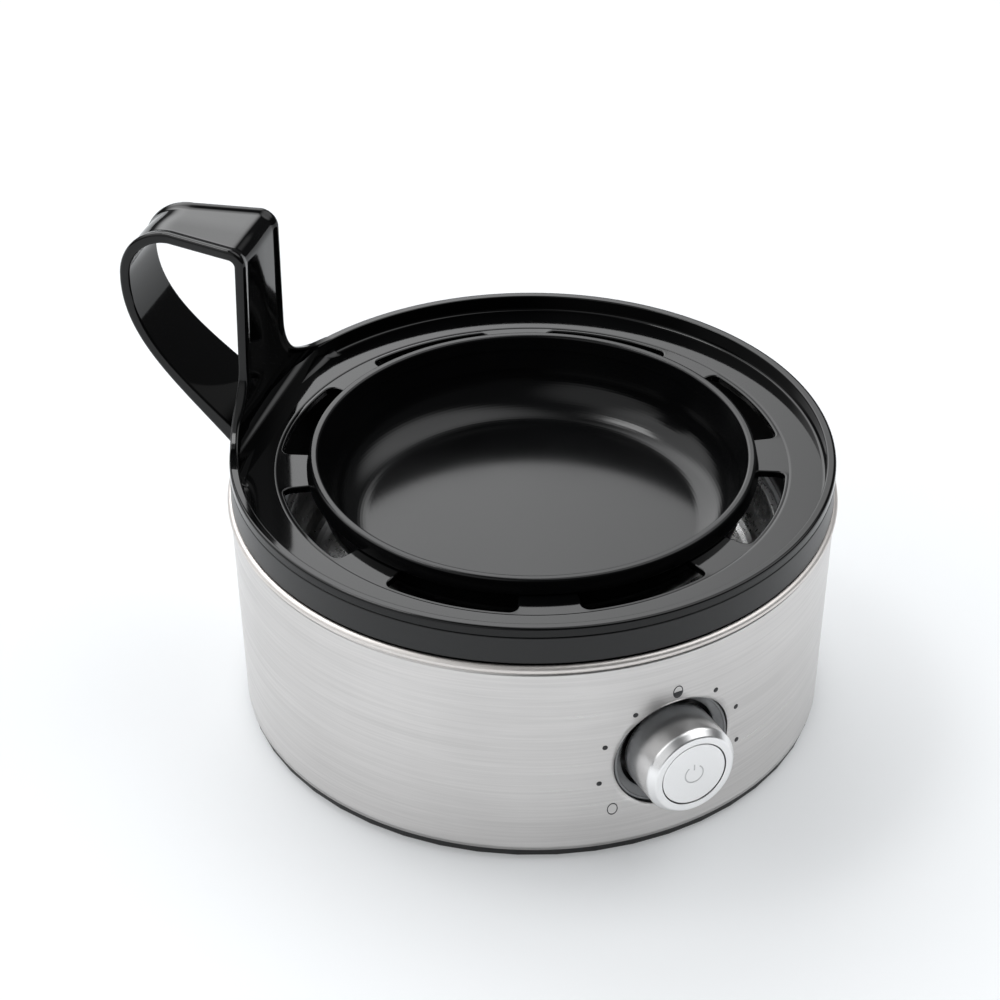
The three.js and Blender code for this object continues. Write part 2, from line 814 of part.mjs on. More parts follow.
function switchPlunger() {
  return rod(plungerRadius, plungerFront - plungerLength, plungerFront);
}

// Block or can on the rear side of the board
function boardPart(size) {
  const up = boardBottom + size.share * boardHeight - dialHeight;
  if (size.radius) {
    return rod(size.radius, boardRear - size.depth, boardRear).translate(size.across, up, 0);
  }
  const block = new THREE.BoxGeometry(size.width, size.height, size.depth);
  return block.translate(size.across, up, boardRear - size.depth / 2);
}

// Ring, plate and tabs of the tray, before the handle joins it
function trayBase() {
  const lipRadius = traySlotRadius + trayLipWidth;
  const rimMiddle = trayTop - trayRimRound;
  const outline = [
    at(tabTipRadius, plateUnder),
    at(stepRadius, plateUnder),
    at(stepRadius, trayBottom),
    at(collarRadius, trayBottom),
    ...bend(collarRadius - trayRimRound, rimMiddle, trayRimRound, trayRimRound, 0, quarterTurn),
    ...bend(rimInnerRadius + trayRimRound, rimMiddle, trayRimRound, trayRimRound, quarterTurn, halfTurn),
    at(rimInnerRadius, plateTop),
    at(lipRadius, plateTop - trayPlateDrop),
    at(traySlotRadius, tabTop),
    at(tabTipRadius, tabTop),
  ];
  const depth = tabTop - plateUnder + 2 * overrun;
  const firstSlot = tabAzimuth + halfTurn / tabCount;
  const slots = around(tabCount, firstSlot, () => prism(traySlot(), plateUnder - overrun, depth));
  return cut(solid(revolve(outline)), slots);
}

// Slot between two tabs, centred on +X, with round outer corners
function traySlot() {
  const half = halfTurn / tabCount - tabHalfAngle;
  const cornerAngle = half * degree - Math.asin(traySlotRound / (traySlotRadius - traySlotRound));
  const cornerReach = traySlotRadius - traySlotRound;
  const inner = tabTipRadius - overrun;
  const shape = new THREE.Shape();
  shape.moveTo(inner * Math.cos(half * degree), -inner * Math.sin(half * degree));
  const low = at(cornerReach * Math.cos(cornerAngle), -cornerReach * Math.sin(cornerAngle));
  const high = at(low.x, -low.y);
  shape.absarc(low.x, low.y, traySlotRound, -half * degree - Math.PI / 2, -cornerAngle, false);
  shape.absarc(0, 0, traySlotRadius, -cornerAngle, cornerAngle, false);
  shape.absarc(high.x, high.y, traySlotRound, cornerAngle, half * degree + Math.PI / 2, false);
  shape.lineTo(inner * Math.cos(half * degree), inner * Math.sin(half * degree));
  return shape;
}

// Stations of the handle's strap, each with its place in the upright plane of the handle:
// radius, height over the rim, direction of travel, half width and thickness
function strapStations() {
  const stations = [];
  const straightTop = handleRise - postCorner;
  const cornerRadius = postRadius + postCorner;
  const endStart = handleReach - endWidth;
  const footDepth = trayTop - plateTop + trayPlateThickness / 2;
  const station = (radius, height, angle, half, thickness = strapThickness) => {
    stations.push({ radius, height, angle: angle * degree, half, thickness });
  };
  for (let i = 0; i < postSteps; i += 1) {
    const share = (i / postSteps) ** postCrowding;
    const height = THREE.MathUtils.lerp(-footDepth, straightTop, share);
    const flareShare = Math.max(0, Math.min(1, 1 - height / flareHeight));
    const flare = flareWidth * (1 - Math.sqrt(1 - flareShare ** 2));
    const taper = THREE.MathUtils.lerp(postHalfWidth, cornerHalfWidth, share);
    station(postRadius, height, quarterTurn, taper + flare);
  }
  for (let i = 0; i <= cornerSteps; i += 1) {
    const angle = quarterTurn * (1 - i / cornerSteps);
    const [across, up] = [postCorner * Math.sin(angle * degree), postCorner * Math.cos(angle * degree)];
    station(cornerRadius - across, straightTop + up, angle, cornerHalfWidth);
  }
  for (let i = 1; i < strapTopSteps; i += 1) {
    const share = i / strapTopSteps;
    station(THREE.MathUtils.lerp(cornerRadius, endStart, share), handleRise, 0,
      THREE.MathUtils.lerp(cornerHalfWidth, endHalfWidth, share));
  }
  for (let i = 0; i <= endSteps; i += 1) {
    const angle = (quarterTurn * i) / endSteps;
    const [sine, cosine] = [Math.sin(angle * degree), Math.cos(angle * degree)];
    const travel = Math.atan2(-endHeight * sine, endWidth * cosine) / degree;
    station(endStart + endWidth * sine, handleRise - endHeight + endHeight * cosine, travel, endHalfWidth);
  }
  const top = at(handleReach, handleRise - endHeight);
  const end = at(diagonalFootRadius, -diagonalFootDrop);
  const span = top.distanceTo(end);
  const footDirection = at(Math.cos(diagonalFootAngle * degree), Math.sin(diagonalFootAngle * degree));
  const curve = new THREE.CubicBezierCurve(top, at(top.x, top.y - diagonalTopShare * span),
    end.clone().addScaledVector(footDirection, diagonalFootShare * span), end);
  for (let i = 1; i <= diagonalSteps; i += 1) {
    const share = i / diagonalSteps;
    const place = curve.getPoint(share);
    const tangent = curve.getTangent(share);
    station(place.x, place.y, Math.atan2(tangent.y, tangent.x) / degree,
      THREE.MathUtils.lerp(endHalfWidth, footHalfWidth, share),
      THREE.MathUtils.lerp(strapThickness, strapFootThickness, share ** strapFootCurve));
  }
  return stations;
}

// Section of the strap across its width: raised rims along both edges of its outer face
function strapSection(half, thickness) {
  const face = thickness / 2;
  const outer = [
    at(-half, -face + strapEdge),
    at(-half, face + strapRim - strapEdge),
    at(-half + strapEdge, face + strapRim),
    at(-half + strapRimWidth - strapRim, face + strapRim),
    at(-half + strapRimWidth, face),
  ];
  const mirrored = outer.map((point) => at(-point.x, point.y)).reverse();
  return [...outer, ...mirrored, at(half - strapEdge, -face), at(-half + strapEdge, -face)].reverse();
}

// How far out a point of the post lies: on its flat plate, or within the ring's wall where that is nearer
function postReach(reach, across) {
  const innerFace = postRadius - strapThickness / 2 - strapRim;
  const share = (reach - innerFace) / (strapThickness + strapRim);
  const wall = THREE.MathUtils.lerp(rimInnerRadius + flareInset, collarRadius - flareInset, share);
  return Math.min(reach, Math.sqrt(wall ** 2 - across ** 2));
}

// The loop: its sections in order, with the flared post kept within the ring's wall
function handleStrap() {
  const stations = strapStations();
  const positions = [];
  const indices = [];
  let count = 0;
  for (const { radius, height, angle, half, thickness } of stations) {
    const section = strapSection(half, thickness);
    count = section.length;
    for (const point of section) {
      const reach = radius - point.y * Math.sin(angle);
      const rise = height + point.y * Math.cos(angle);
      const x = radius === postRadius ? postReach(reach, point.x) : reach;
      positions.push(x, point.x, trayTop + rise);
    }
  }
  for (let i = 0; i + 1 < stations.length; i += 1) {
    for (let j = 0; j < count; j += 1) {
      const [a, b] = [i * count + j, i * count + ((j + 1) % count)];
      indices.push(a, b, b + count, a, b + count, a + count);
    }
  }
  const caps = THREE.ShapeUtils.triangulateShape(strapSection(stations[0].half, stations[0].thickness), []);
  const last = (stations.length - 1) * count;
  for (const [a, b, c] of caps) {
    indices.push(a, c, b, last + a, last + b, last + c);
  }
  const geometry = new THREE.BufferGeometry();
  geometry.setAttribute("position", new THREE.Float32BufferAttribute(positions, 3));
  geometry.setIndex(indices);
  return geometry.rotateZ(handleAzimuth * degree);
}

// Tray ring with its handle, kept clear of the collar below the ring
function trayRing() {
  const low = collarBottom - overrun;
  const outside = tube(collarRadius + seatGap, stepRadius, low, trayBottom, bodySegments);
  const underRadius = stepRadius + overrun;
  const under = revolve([at(0, low), at(underRadius, low), at(underRadius, plateUnder), at(0, plateUnder)]);
  const strap = cut(solid(handleStrap()), [outside, under]);
  return geometryOf(trayBase().add(strap));
}

// Bowl that stands on the tabs by the shoulder of its rim
function poachingBowl() {
  const shoulder = tabTop + bowlSeatGap;
  const inner = bowlRimRadius - bowlRimWidth;
  const floor = bowlTop - bowlDepth;
  const floorCorner = inner - bowlDraft - bowlCorner;
  const wallOuter = inner + bowlWall - bowlDraft / 2;
  const outerCorner = bowlCorner + bowlWall;
  const rimMiddle = bowlTop - bowlRimRound;
  return revolve([
    at(0, floor - bowlWall),
    ...bend(floorCorner, floor + bowlCorner, outerCorner, outerCorner, -quarterTurn, 0, cornerRounds),
    at(wallOuter, shoulder),
    at(bowlShoulderRadius, shoulder),
    ...bend(bowlRimRadius - bowlRimRound, rimMiddle, bowlRimRound, bowlRimRound, 0, quarterTurn),
    ...bend(inner + bowlRimRound, rimMiddle, bowlRimRound, bowlRimRound, quarterTurn, halfTurn),
    ...bend(floorCorner, floor + bowlCorner, bowlCorner, bowlCorner, 0, -quarterTurn, cornerRounds),
    at(0, floor),
  ]);
}

// Finishes
const finishes = {
  brushedSteel: { color: 0xc3c5c6, roughness: 0.34, metalness: 1 },
  satinMetal: { color: 0xc9cbcc, roughness: 0.25, metalness: 1 },
  darkMetal: { color: 0x7b7d80, roughness: 0.5, metalness: 1 },
  glossBlack: { color: 0x08090a, roughness: 0.12, metalness: 0 },
  mattBlack: { color: 0x1b1d1f, roughness: 0.55, metalness: 0 },
  clear: { color: 0xaeb1b3, roughness: 0.1, metalness: 0 },
  silicone: { color: 0x8c8f92, roughness: 0.7, metalness: 0 },
  rubber: { color: 0x222325, roughness: 0.85, metalness: 0 },
  board: { color: 0x2c5a38, roughness: 0.6, metalness: 0 },
  lead: { color: 0x9a3a2b, roughness: 0.5, metalness: 0 },
};

function piece(name, geometry, finish) {
  const mesh = new THREE.Mesh(closed(geometry), new THREE.MeshStandardMaterial(finishes[finish]));
  mesh.name = name;
  return mesh;
}

// Pieces that stand on the body's upright axis
function bodyPieces() {
  const group = new THREE.Group();
  group.add(
    piece("steel_shell", steelShell(), "brushedSteel"),
    piece("base_cover", baseCover(), "mattBlack"),
    piece("upper_collar", upperCollar(), "glossBlack"),
    piece("heating_dish", heatingDish(), "satinMetal"),
    piece("dish_seal", dishSeal(), "silicone"),
    piece("heat_plate", heatPlate(), "satinMetal"),
    piece("heating_element", heatingElement(), "darkMetal"),
    piece("clamp_bar", clampBar(), "darkMetal"),
    piece("clamp_nut", clampNut(), "darkMetal"),
    piece("cord_grommet", cordGrommet(), "rubber"),
    piece("terminal_block", terminalBlock(), "mattBlack"),
    piece("heater_lead_1", heaterLead(1), "lead"),
    piece("heater_lead_2", heaterLead(-1), "lead"),
    piece("tray_ring", trayRing(), "glossBlack"),
    piece("poaching_bowl", poachingBowl(), "glossBlack"),
  );
  const disc = piece("thermostat", thermostat(), "darkMetal");
  disc.position.y = -thermostatShare * elementCircle;
  const fuse = piece("thermal_fuse", thermalFuse(), "darkMetal");
  fuse.position.y = fuseShare * elementCircle;
  group.add(disc, fuse);
  return group;
}

// Pieces on the dial's axis, drawn with +Z out of the body
function dialPieces() {
  const group = new THREE.Group();
  group.rotation.x = Math.PI / 2;
  group.position.z = dialHeight;
  group.add(
    piece("light_ring", lightRing(), "clear"),
    piece("dial_knob", dialKnob(), "satinMetal"),
    piece("dial_shaft", dialShaft(), "darkMetal"),
    piece("power_button", powerButton(), "satinMetal"),
    piece("dial_encoder", dialEncoder(), "mattBlack"),
    piece("control_board", controlBoard(), "board"),
    piece("push_switch", pushSwitch(), "mattBlack"),
    piece("switch_plunger", switchPlunger(), "silicone"),
    piece("transformer", boardPart(transformer), "darkMetal"),
    piece("relay", boardPart(relay), "mattBlack"),
    piece("capacitor", boardPart(capacitor), "mattBlack"),
    piece("buzzer", boardPart(buzzer), "mattBlack"),
  );
  return group;
}

// Feet and tie screws, each set on its circle
function circlePieces() {
  const group = new THREE.Group();
  const place = (name, count, circle, make, finish) => {
    for (let i = 0; i < count; i += 1) {
      const spoke = new THREE.Group();
      spoke.rotation.z = (tieAzimuth + (fullTurn * i) / count) * degree;
      const mesh = piece(`${name}_${i + 1}`, make(), finish);
      mesh.position.x = circle;
      spoke.add(mesh);
      group.add(spoke);
    }
  };
  place("foot", footCount, footCircle, foot, "rubber");
  place("tie_screw", tieCount, tieCircle, tieScrew, "darkMetal");
  return group;
}

const eggBoiler = new THREE.Group();
eggBoiler.add(bodyPieces(), dialPieces(), circlePieces());

// The origin lies on the floor, under the middle of the whole outline
const middle = new THREE.Box3().setFromObject(eggBoiler, true).getCenter(new THREE.Vector3());
eggBoiler.position.set(-middle.x, -middle.y, 0);

export default eggBoiler;
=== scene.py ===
"""Looks of a round countertop egg boiler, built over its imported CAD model.

Lengths in the classes are millimetres from the body's upright axis and from the floor, with the
dial facing -Y. Meshes are written in metres in the row frame.
"""

import logging
import math
from dataclasses import dataclass
from enum import Enum

import bmesh
import bpy
import numpy as np
from mathutils import Matrix, Vector


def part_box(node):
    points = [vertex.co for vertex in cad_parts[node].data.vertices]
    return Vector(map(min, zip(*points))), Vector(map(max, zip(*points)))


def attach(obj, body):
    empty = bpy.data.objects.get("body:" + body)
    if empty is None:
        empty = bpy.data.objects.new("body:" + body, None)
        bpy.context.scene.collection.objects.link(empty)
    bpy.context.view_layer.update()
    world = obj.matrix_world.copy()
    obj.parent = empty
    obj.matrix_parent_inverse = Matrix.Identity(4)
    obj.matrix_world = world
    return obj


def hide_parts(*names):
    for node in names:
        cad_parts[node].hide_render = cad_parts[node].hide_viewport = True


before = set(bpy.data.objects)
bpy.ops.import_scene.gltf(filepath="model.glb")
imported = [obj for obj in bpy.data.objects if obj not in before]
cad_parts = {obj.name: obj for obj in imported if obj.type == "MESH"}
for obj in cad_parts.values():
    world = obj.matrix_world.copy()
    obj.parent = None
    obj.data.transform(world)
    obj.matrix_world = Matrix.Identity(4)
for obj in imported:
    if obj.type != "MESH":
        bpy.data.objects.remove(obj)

Array = np.ndarray
Triple = tuple[float, float, float]
METRE = 0.001
SAME_PLACE = 1e-6
ROUND_STEPS = 6
NOISE_ROUGHNESS = 0.6
EVEN: Triple = (1, 1, 1)
LOG = logging.getLogger("egg_boiler")


class Body(str, Enum):
    """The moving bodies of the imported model."""

    HOUSING = "housing"
    DIAL = "dial"
    BUTTON = "button"
    TRAY = "tray"
    BOWL = "bowl"


def body_axis() -> Array:
    """The body's upright axis in the row frame, in mm, from the box of the steel shell.

    Returns:
        x, y and 0.
    """
    low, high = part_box("steel_shell")
    middle = (np.array(low) + np.array(high)) / (2 * METRE)
    return np.array([middle[0], middle[1], 0.0])


AXIS = body_axis()


# Shapes on grids


@dataclass
class Grid:
    """Points on a grid, with the edges that wrap round."""

    points: Array
    wrap_rows: bool = False
    wrap_columns: bool = True

    def faces(self) -> Array:
        """Quads between each grid point and its neighbours in the next row and column.

        Returns:
            Four indices for each quad.
        """
        rows, columns = self.points.shape[:2]
        i, j = np.meshgrid(
            np.arange(rows if self.wrap_rows else rows - 1),
            np.arange(columns if self.wrap_columns else columns - 1),
            indexing="ij",
        )
        here, below, beside = i * columns, (i + 1) % rows * columns, (j + 1) % columns
        corners = [here + j, here + beside, below + beside, below + j]
        return np.stack(corners, -1).reshape(-1, 4)


def rounded(corners: Array, radii: Array, steps: int = ROUND_STEPS) -> Array:
    """A closed outline with each corner B replaced by a curve between the points A and C that lie
    a radius before and after it: a point is (1-t)^2 A + 2t(1-t) B + t^2 C.

    Args:
        corners: outlines, as (..., corners, 2).
        radii: how far each corner is cut back, one for each corner.
        steps: spans of each curve.

    Returns:
        The outlines, as (..., corners * (steps + 1), 2).
    """
    before, after = np.roll(corners, 1, -2), np.roll(corners, -1, -2)
    reach = np.asarray(radii, float)[..., None]
    start = corners + unit(before - corners) * reach
    end = corners + unit(after - corners) * reach
    t = np.linspace(0, 1, steps + 1)[:, None]
    curve = (
        (1 - t) ** 2 * start[..., None, :]
        + 2 * t * (1 - t) * corners[..., None, :]
        + t**2 * end[..., None, :]
    )
    return curve.reshape(*corners.shape[:-2], -1, 2)


def held(profile: Array, closed: bool = True, hold: float = 0.05, longer: float = 0.6) -> Array:
    """A profile with a point added near both ends A and B of each long straight edge, so that its
    flat faces are shaded flat: A + (B - A) h / |B - A| and B - (B - A) h / |B - A|.

    Args:
        profile: outlines, as (..., points, 2).
        closed: False for an outline that doesn't close on itself.
        hold: how far in the new points lie, h.
        longer: edges over this length get them.

    Returns:
        The outlines with more points, as (..., points, 2).
    """
    step = np.roll(profile, -1, -2) - profile
    span = np.linalg.norm(step, axis=-1)
    lasting = span.reshape(-1, span.shape[-1]).min(0) > longer
    lasting[-1] &= closed
    inward = step * (hold / np.maximum(span, hold))[..., None]
    added = np.stack([profile, profile + inward, profile + step - inward], -2)
    kept = np.stack([np.ones_like(lasting), lasting, lasting], -1).ravel()
    return added.reshape(*profile.shape[:-2], -1, 2)[..., kept, :]


def unit(vectors: Array) -> Array:
    """Vectors scaled to length 1, with a zero vector left as it is."""
    length = np.linalg.norm(vectors, axis=-1, keepdims=True)
    return vectors / np.where(length > 0, length, 1)


def outline(*corners: tuple[float, float, float]) -> Array:
    """A closed profile from corners given as (radius, height, rounding)."""
    table = np.array(corners, float)
    return rounded(table[:, :2], table[:, 2])


def arc(middle: tuple[float, float], reach: float | tuple[float, float], angles: Array) -> Array:
    """Points on a circle or ellipse about (x, y): (x + a cos(t), y + b sin(t)) at each angle t."""
    return np.array(middle) + np.array(reach) * np.stack([np.cos(angles), np.sin(angles)], -1)


def circle(segments: int) -> Array:
    """Angles all the way round, in radians."""
    return np.linspace(0, 2 * np.pi, segments, endpoint=False)


def rotate(points: Array, angle: float) -> Array:
    """Plan points turned about the axis by an angle in radians."""
    cosine, sine = np.cos(angle), np.sin(angle)
    return points @ np.array([[cosine, sine], [-sine, cosine]])


def turned(profile: Array, azimuths: Array, wrap_rows: bool = True) -> Grid:
    """A profile carried round the body's axis: x = r cos(a), y = r sin(a), z = h.

    Args:
        profile: radius and height of each point.
        azimuths: the angles a, all the way round.
        wrap_rows: True for a profile that closes on itself.

    Returns:
        The grid, a row for each profile point.
    """
    r, h = np.moveaxis(held(profile, wrap_rows)[..., None], 1, 0)
    points = np.stack([r * np.cos(azimuths), r * np.sin(azimuths), h + 0 * azimuths], -1)
    return Grid(points, wrap_rows)


def turned_level(
    profile: Array, height: float, segments: int, wrap_rows: bool = True, rearward: bool = False
) -> Grid:
    """A profile (r, h) carried round a level axis: (r cos(a), -h or +h, height + r sin(a))."""
    across, up, out = np.moveaxis(turned(profile, circle(segments), wrap_rows).points, -1, 0)
    return Grid(np.stack([across, out if rearward else -out, height + up], -1), wrap_rows)


def pan(
    hub: float, floor: float, corner: float, wall: float, rim: Array, steps: int, segments: int
) -> Grid:
    """A pan: a flat floor and a rounded corner, over and under, with a rim between the two.

    Args:
        hub: radius at which the corner starts.
        floor: height of the floor's upper face.
        corner: inner radius of the corner.
        wall: thickness of floor and corner.
        rim: profile points from the outside of the corner to its inside.
        steps: points of each corner.
        segments: steps all the way round.

    Returns:
        The pan as a turned profile.
    """
    sweep, middle = np.radians(np.linspace(-90, 0, steps)), (hub, floor + corner)
    under, over = arc(middle, corner + wall, sweep), arc(middle, corner, sweep[::-1])
    profile = np.concatenate([[[0, floor - wall]], under, rim, over, [[0, floor]]])
    return turned(profile, circle(segments), False)


def shown(name: str, data: bpy.types.ID) -> bpy.types.Object:
    """A new object of the data, in the scene.

    Args:
        name: its name.
        data: its mesh, camera or lamp.

    Returns:
        The object.
    """
    made = bpy.data.objects.new(name, data)
    bpy.context.scene.collection.objects.link(made)
    return made


def add_piece(
    name: str,
    grids: list[Grid],
    finish: "Finish",
    body: Body,
    replaces: tuple[str, ...] = (),
    sharp: float = 40,
    wall: float = 0,
) -> bpy.types.Object:
    """Makes one shown piece from grids, with its doubles merged and its faces pointing out.

    Args:
        name: the piece's name.
        grids: its surfaces, in mm.
        finish: its finish.
        body: the CAD body it rides on.
        replaces: the CAD nodes it stands for.
        sharp: edges over this many degrees are shaded sharp.
        wall: thickness put behind an open surface, in mm.

    Returns:
        The finished object.
    """
    offset, points, faces = 0, [], []
    for grid in grids:
        flat = grid.points.reshape(-1, 3)
        points.append(flat)
        faces.append(grid.faces() + offset)
        offset += len(flat)
    mesh = bpy.data.meshes.new(name)
    placed = (np.concatenate(points) + AXIS) * METRE
    mesh.from_pydata(placed.tolist(), [], np.concatenate(faces).tolist())
    work = bmesh.new()
    work.from_mesh(mesh)
    bmesh.ops.remove_doubles(work, verts=work.verts, dist=SAME_PLACE)
    bmesh.ops.recalc_face_normals(work, faces=work.faces)
    work.to_mesh(mesh)
    work.free()
    mesh.shade_smooth()
    mesh.set_sharp_from_angle(angle=math.radians(sharp))
    piece = shown(name, mesh)
    mesh.materials.append(finish.material())
    if wall:
        thick = piece.modifiers.new("wall", "SOLIDIFY")
        thick.thickness = wall * METRE
        thick.offset = -1
    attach(piece, body.value)
    if replaces:
        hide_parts(*replaces)
    LOG.info("%s: %d faces on %s", name, len(mesh.polygons), body.value)
    return piece


# Shader nodes


class Flow:
    """A value in a material's nodes. Python's operators on it add Math nodes."""

    def __init__(self, palette: "Palette", socket: bpy.types.NodeSocket) -> None:
        """Keeps the material's palette and the output socket."""
        self.palette = palette
        self.socket = socket

    def maths(self, operation: str, *values: "Flow | float") -> "Flow":
        """A Math node of the operation on the values."""
        return self.palette.node("Math", {"operation": operation}, dict(enumerate(values)))

    def __add__(self, other: "Flow | float") -> "Flow":
        """Sum."""
        return self.maths("ADD", self, other)

    __radd__ = __add__

    def __mul__(self, other: "Flow | float") -> "Flow":
        """Product."""
        return self.maths("MULTIPLY", self, other)

    __rmul__ = __mul__

    def __sub__(self, other: "Flow | float") -> "Flow":
        """Difference."""
        return self.maths("SUBTRACT", self, other)

    def __rsub__(self, other: float) -> "Flow":
        """Difference from a number."""
        return self.maths("SUBTRACT", other, self)


class Palette:
    """The nodes of one material or world."""

    def __init__(self, owner: bpy.types.Material | bpy.types.World) -> None:
        """Empties the owner's nodes.

        Args:
            owner: the material or world whose nodes these are.
        """
        owner.use_nodes = True
        self.tree = owner.node_tree
        self.tree.nodes.clear()

    def node(self, kind: str, settings: dict, inputs: dict, output: int | str = 0) -> Flow:
        """Adds one node.

        Args:
            kind: the node's type without its ShaderNode prefix.
            settings: the node's own properties.
            inputs: values or links, by socket name or number.
            output: which output is returned.

        Returns:
            The output as a Flow, which is empty for a node without outputs.
        """
        made = self.tree.nodes.new("ShaderNode" + kind)
        for key, value in settings.items():
            setattr(made, key, value)
        for key, value in inputs.items():
            if isinstance(value, Flow):
                self.tree.links.new(value.socket, made.inputs[key])
            else:
                made.inputs[key].default_value = value
        return Flow(self, made.outputs[output] if len(made.outputs) else None)

    def noise(self, scale: float, stretch: Triple = EVEN, detail: float = 3) -> Flow:
        """Noise around 0.5 on object coordinates, in grains of 1/scale metres.

        Args:
            scale: grains in a metre.
            stretch: how much finer it is along each axis.
            detail: how many finer layers it has.

        Returns:
            The noise.
        """
        place = self.node("TexCoord", {}, {}, "Object")
        vector = self.node("Mapping", {}, {"Vector": place, "Scale": stretch})
        inputs = {"Vector": vector, "Scale": scale, "Detail": detail, "Roughness": NOISE_ROUGHNESS}
        return self.node("TexNoise", {}, inputs)

    def step(self, value: Flow, low: float, high: float, kind: str = "LINEAR") -> Flow:
        """The value's way from low to high, as 0 to 1."""
        inputs = {"Value": value, 1: low, 2: high}
        return self.node("MapRange", {"interpolation_type": kind}, inputs)

    def mix(self, share: Flow, low: Triple, high: Triple) -> Flow:
        """A colour between two others."""
        return self.node("Mix", {"data_type": "RGBA"}, {0: share, 6: rgba(low), 7: rgba(high)}, 2)

    def bump(self, height: Flow, strength: float, depth: float) -> Flow:
        """A normal bent by a height, in mm of depth."""
        inputs = {"Height": height, "Strength": strength, "Distance": depth * METRE}
        return self.node("Bump", {}, inputs)


def rgba(colour: Triple) -> tuple[float, float, float, float]:
    """A linear colour with full cover."""
    return (*colour, 1.0)


@dataclass(frozen=True)
class Finish:
    """A finish of one substance, with fine grain in its colour, gloss and surface."""

    name: str
    colour: Triple
    shade: Triple
    roughness: float
    metallic: float = 0
    grain: float = 900
    stretch: Triple = EVEN
    gloss_spread: float = 0.06
    bump: float = 0.1
    bump_depth: float = 0.01
    coat: float = 0
    coat_roughness: float = 0.05
    ior: float = 1.5
    cloud: float = 25
    grain_share: float = 0.3
    shade_from: float = 0.45
    shade_full: float = 0.85

    def material(self) -> bpy.types.Material:
        """The material, made once.

        Returns:
            The Blender material of this name.
        """
        found = bpy.data.materials.get(self.name)
        if found:
            return found
        made = bpy.data.materials.new(self.name)
        palette = Palette(made)
        shader = palette.node("BsdfPrincipled", {}, self.sockets(palette))
        palette.node("OutputMaterial", {}, {"Surface": shader})
        return made

    def sockets(self, palette: Palette) -> dict:
        """What the shader's sockets get: broad clouds mix the colours, fine grain sets the gloss.

        Args:
            palette: the material's nodes.

        Returns:
            Values and links by socket name.
        """
        grain = palette.noise(self.grain, self.stretch)
        clouds = palette.noise(self.cloud, detail=2)
        share = palette.step(clouds + self.grain_share * grain, self.shade_from, self.shade_full)
        return {
            "Base Color": palette.mix(share, self.colour, self.shade),
            "Roughness": self.roughness + self.gloss_spread * (grain + clouds - 1.0),
            "Metallic": self.metallic,
            "IOR": self.ior,
            "Coat Weight": self.coat,
            "Coat Roughness": self.coat_roughness,
            "Normal": palette.bump(grain, self.bump, self.bump_depth),
        }


@dataclass(frozen=True)
class BrushedSteel(Finish):
    """Steel brushed round the body: grains drawn out level, with faint upright smudges."""

    shade_from: float = 0.38
    shade_full: float = 0.62
    smudge: float = 0.05
    smudge_stretch: Triple = (1, 1, 0.25)
    smudge_share: float = 0.3
    coarser: float = 4
    coarse_share: float = 0.4

    def sockets(self, palette: Palette) -> dict:
        """Level scratches at two scales set the gloss and the surface, and wide smudges the colour.

        Args:
            palette: the material's nodes.

        Returns:
            Values and links by socket name.
        """
        fine = palette.noise(self.grain, self.stretch, 2)
        coarse = palette.noise(self.grain / self.coarser, self.stretch, 2)
        smudges = palette.noise(self.cloud, self.smudge_stretch)
        lines = fine * (1 - self.coarse_share) + coarse * self.coarse_share
        mottle = lines * (1 - self.smudge_share) + smudges * self.smudge_share
        gloss = self.gloss_spread * (lines - 0.5) + self.smudge * (smudges - 0.5)
        share = palette.step(mottle, self.shade_from, self.shade_full)
        return {
            "Base Color": palette.mix(share, self.colour, self.shade),
            "Roughness": self.roughness + gloss,
            "Metallic": self.metallic,
            "Normal": palette.bump(lines, self.bump, self.bump_depth),
        }


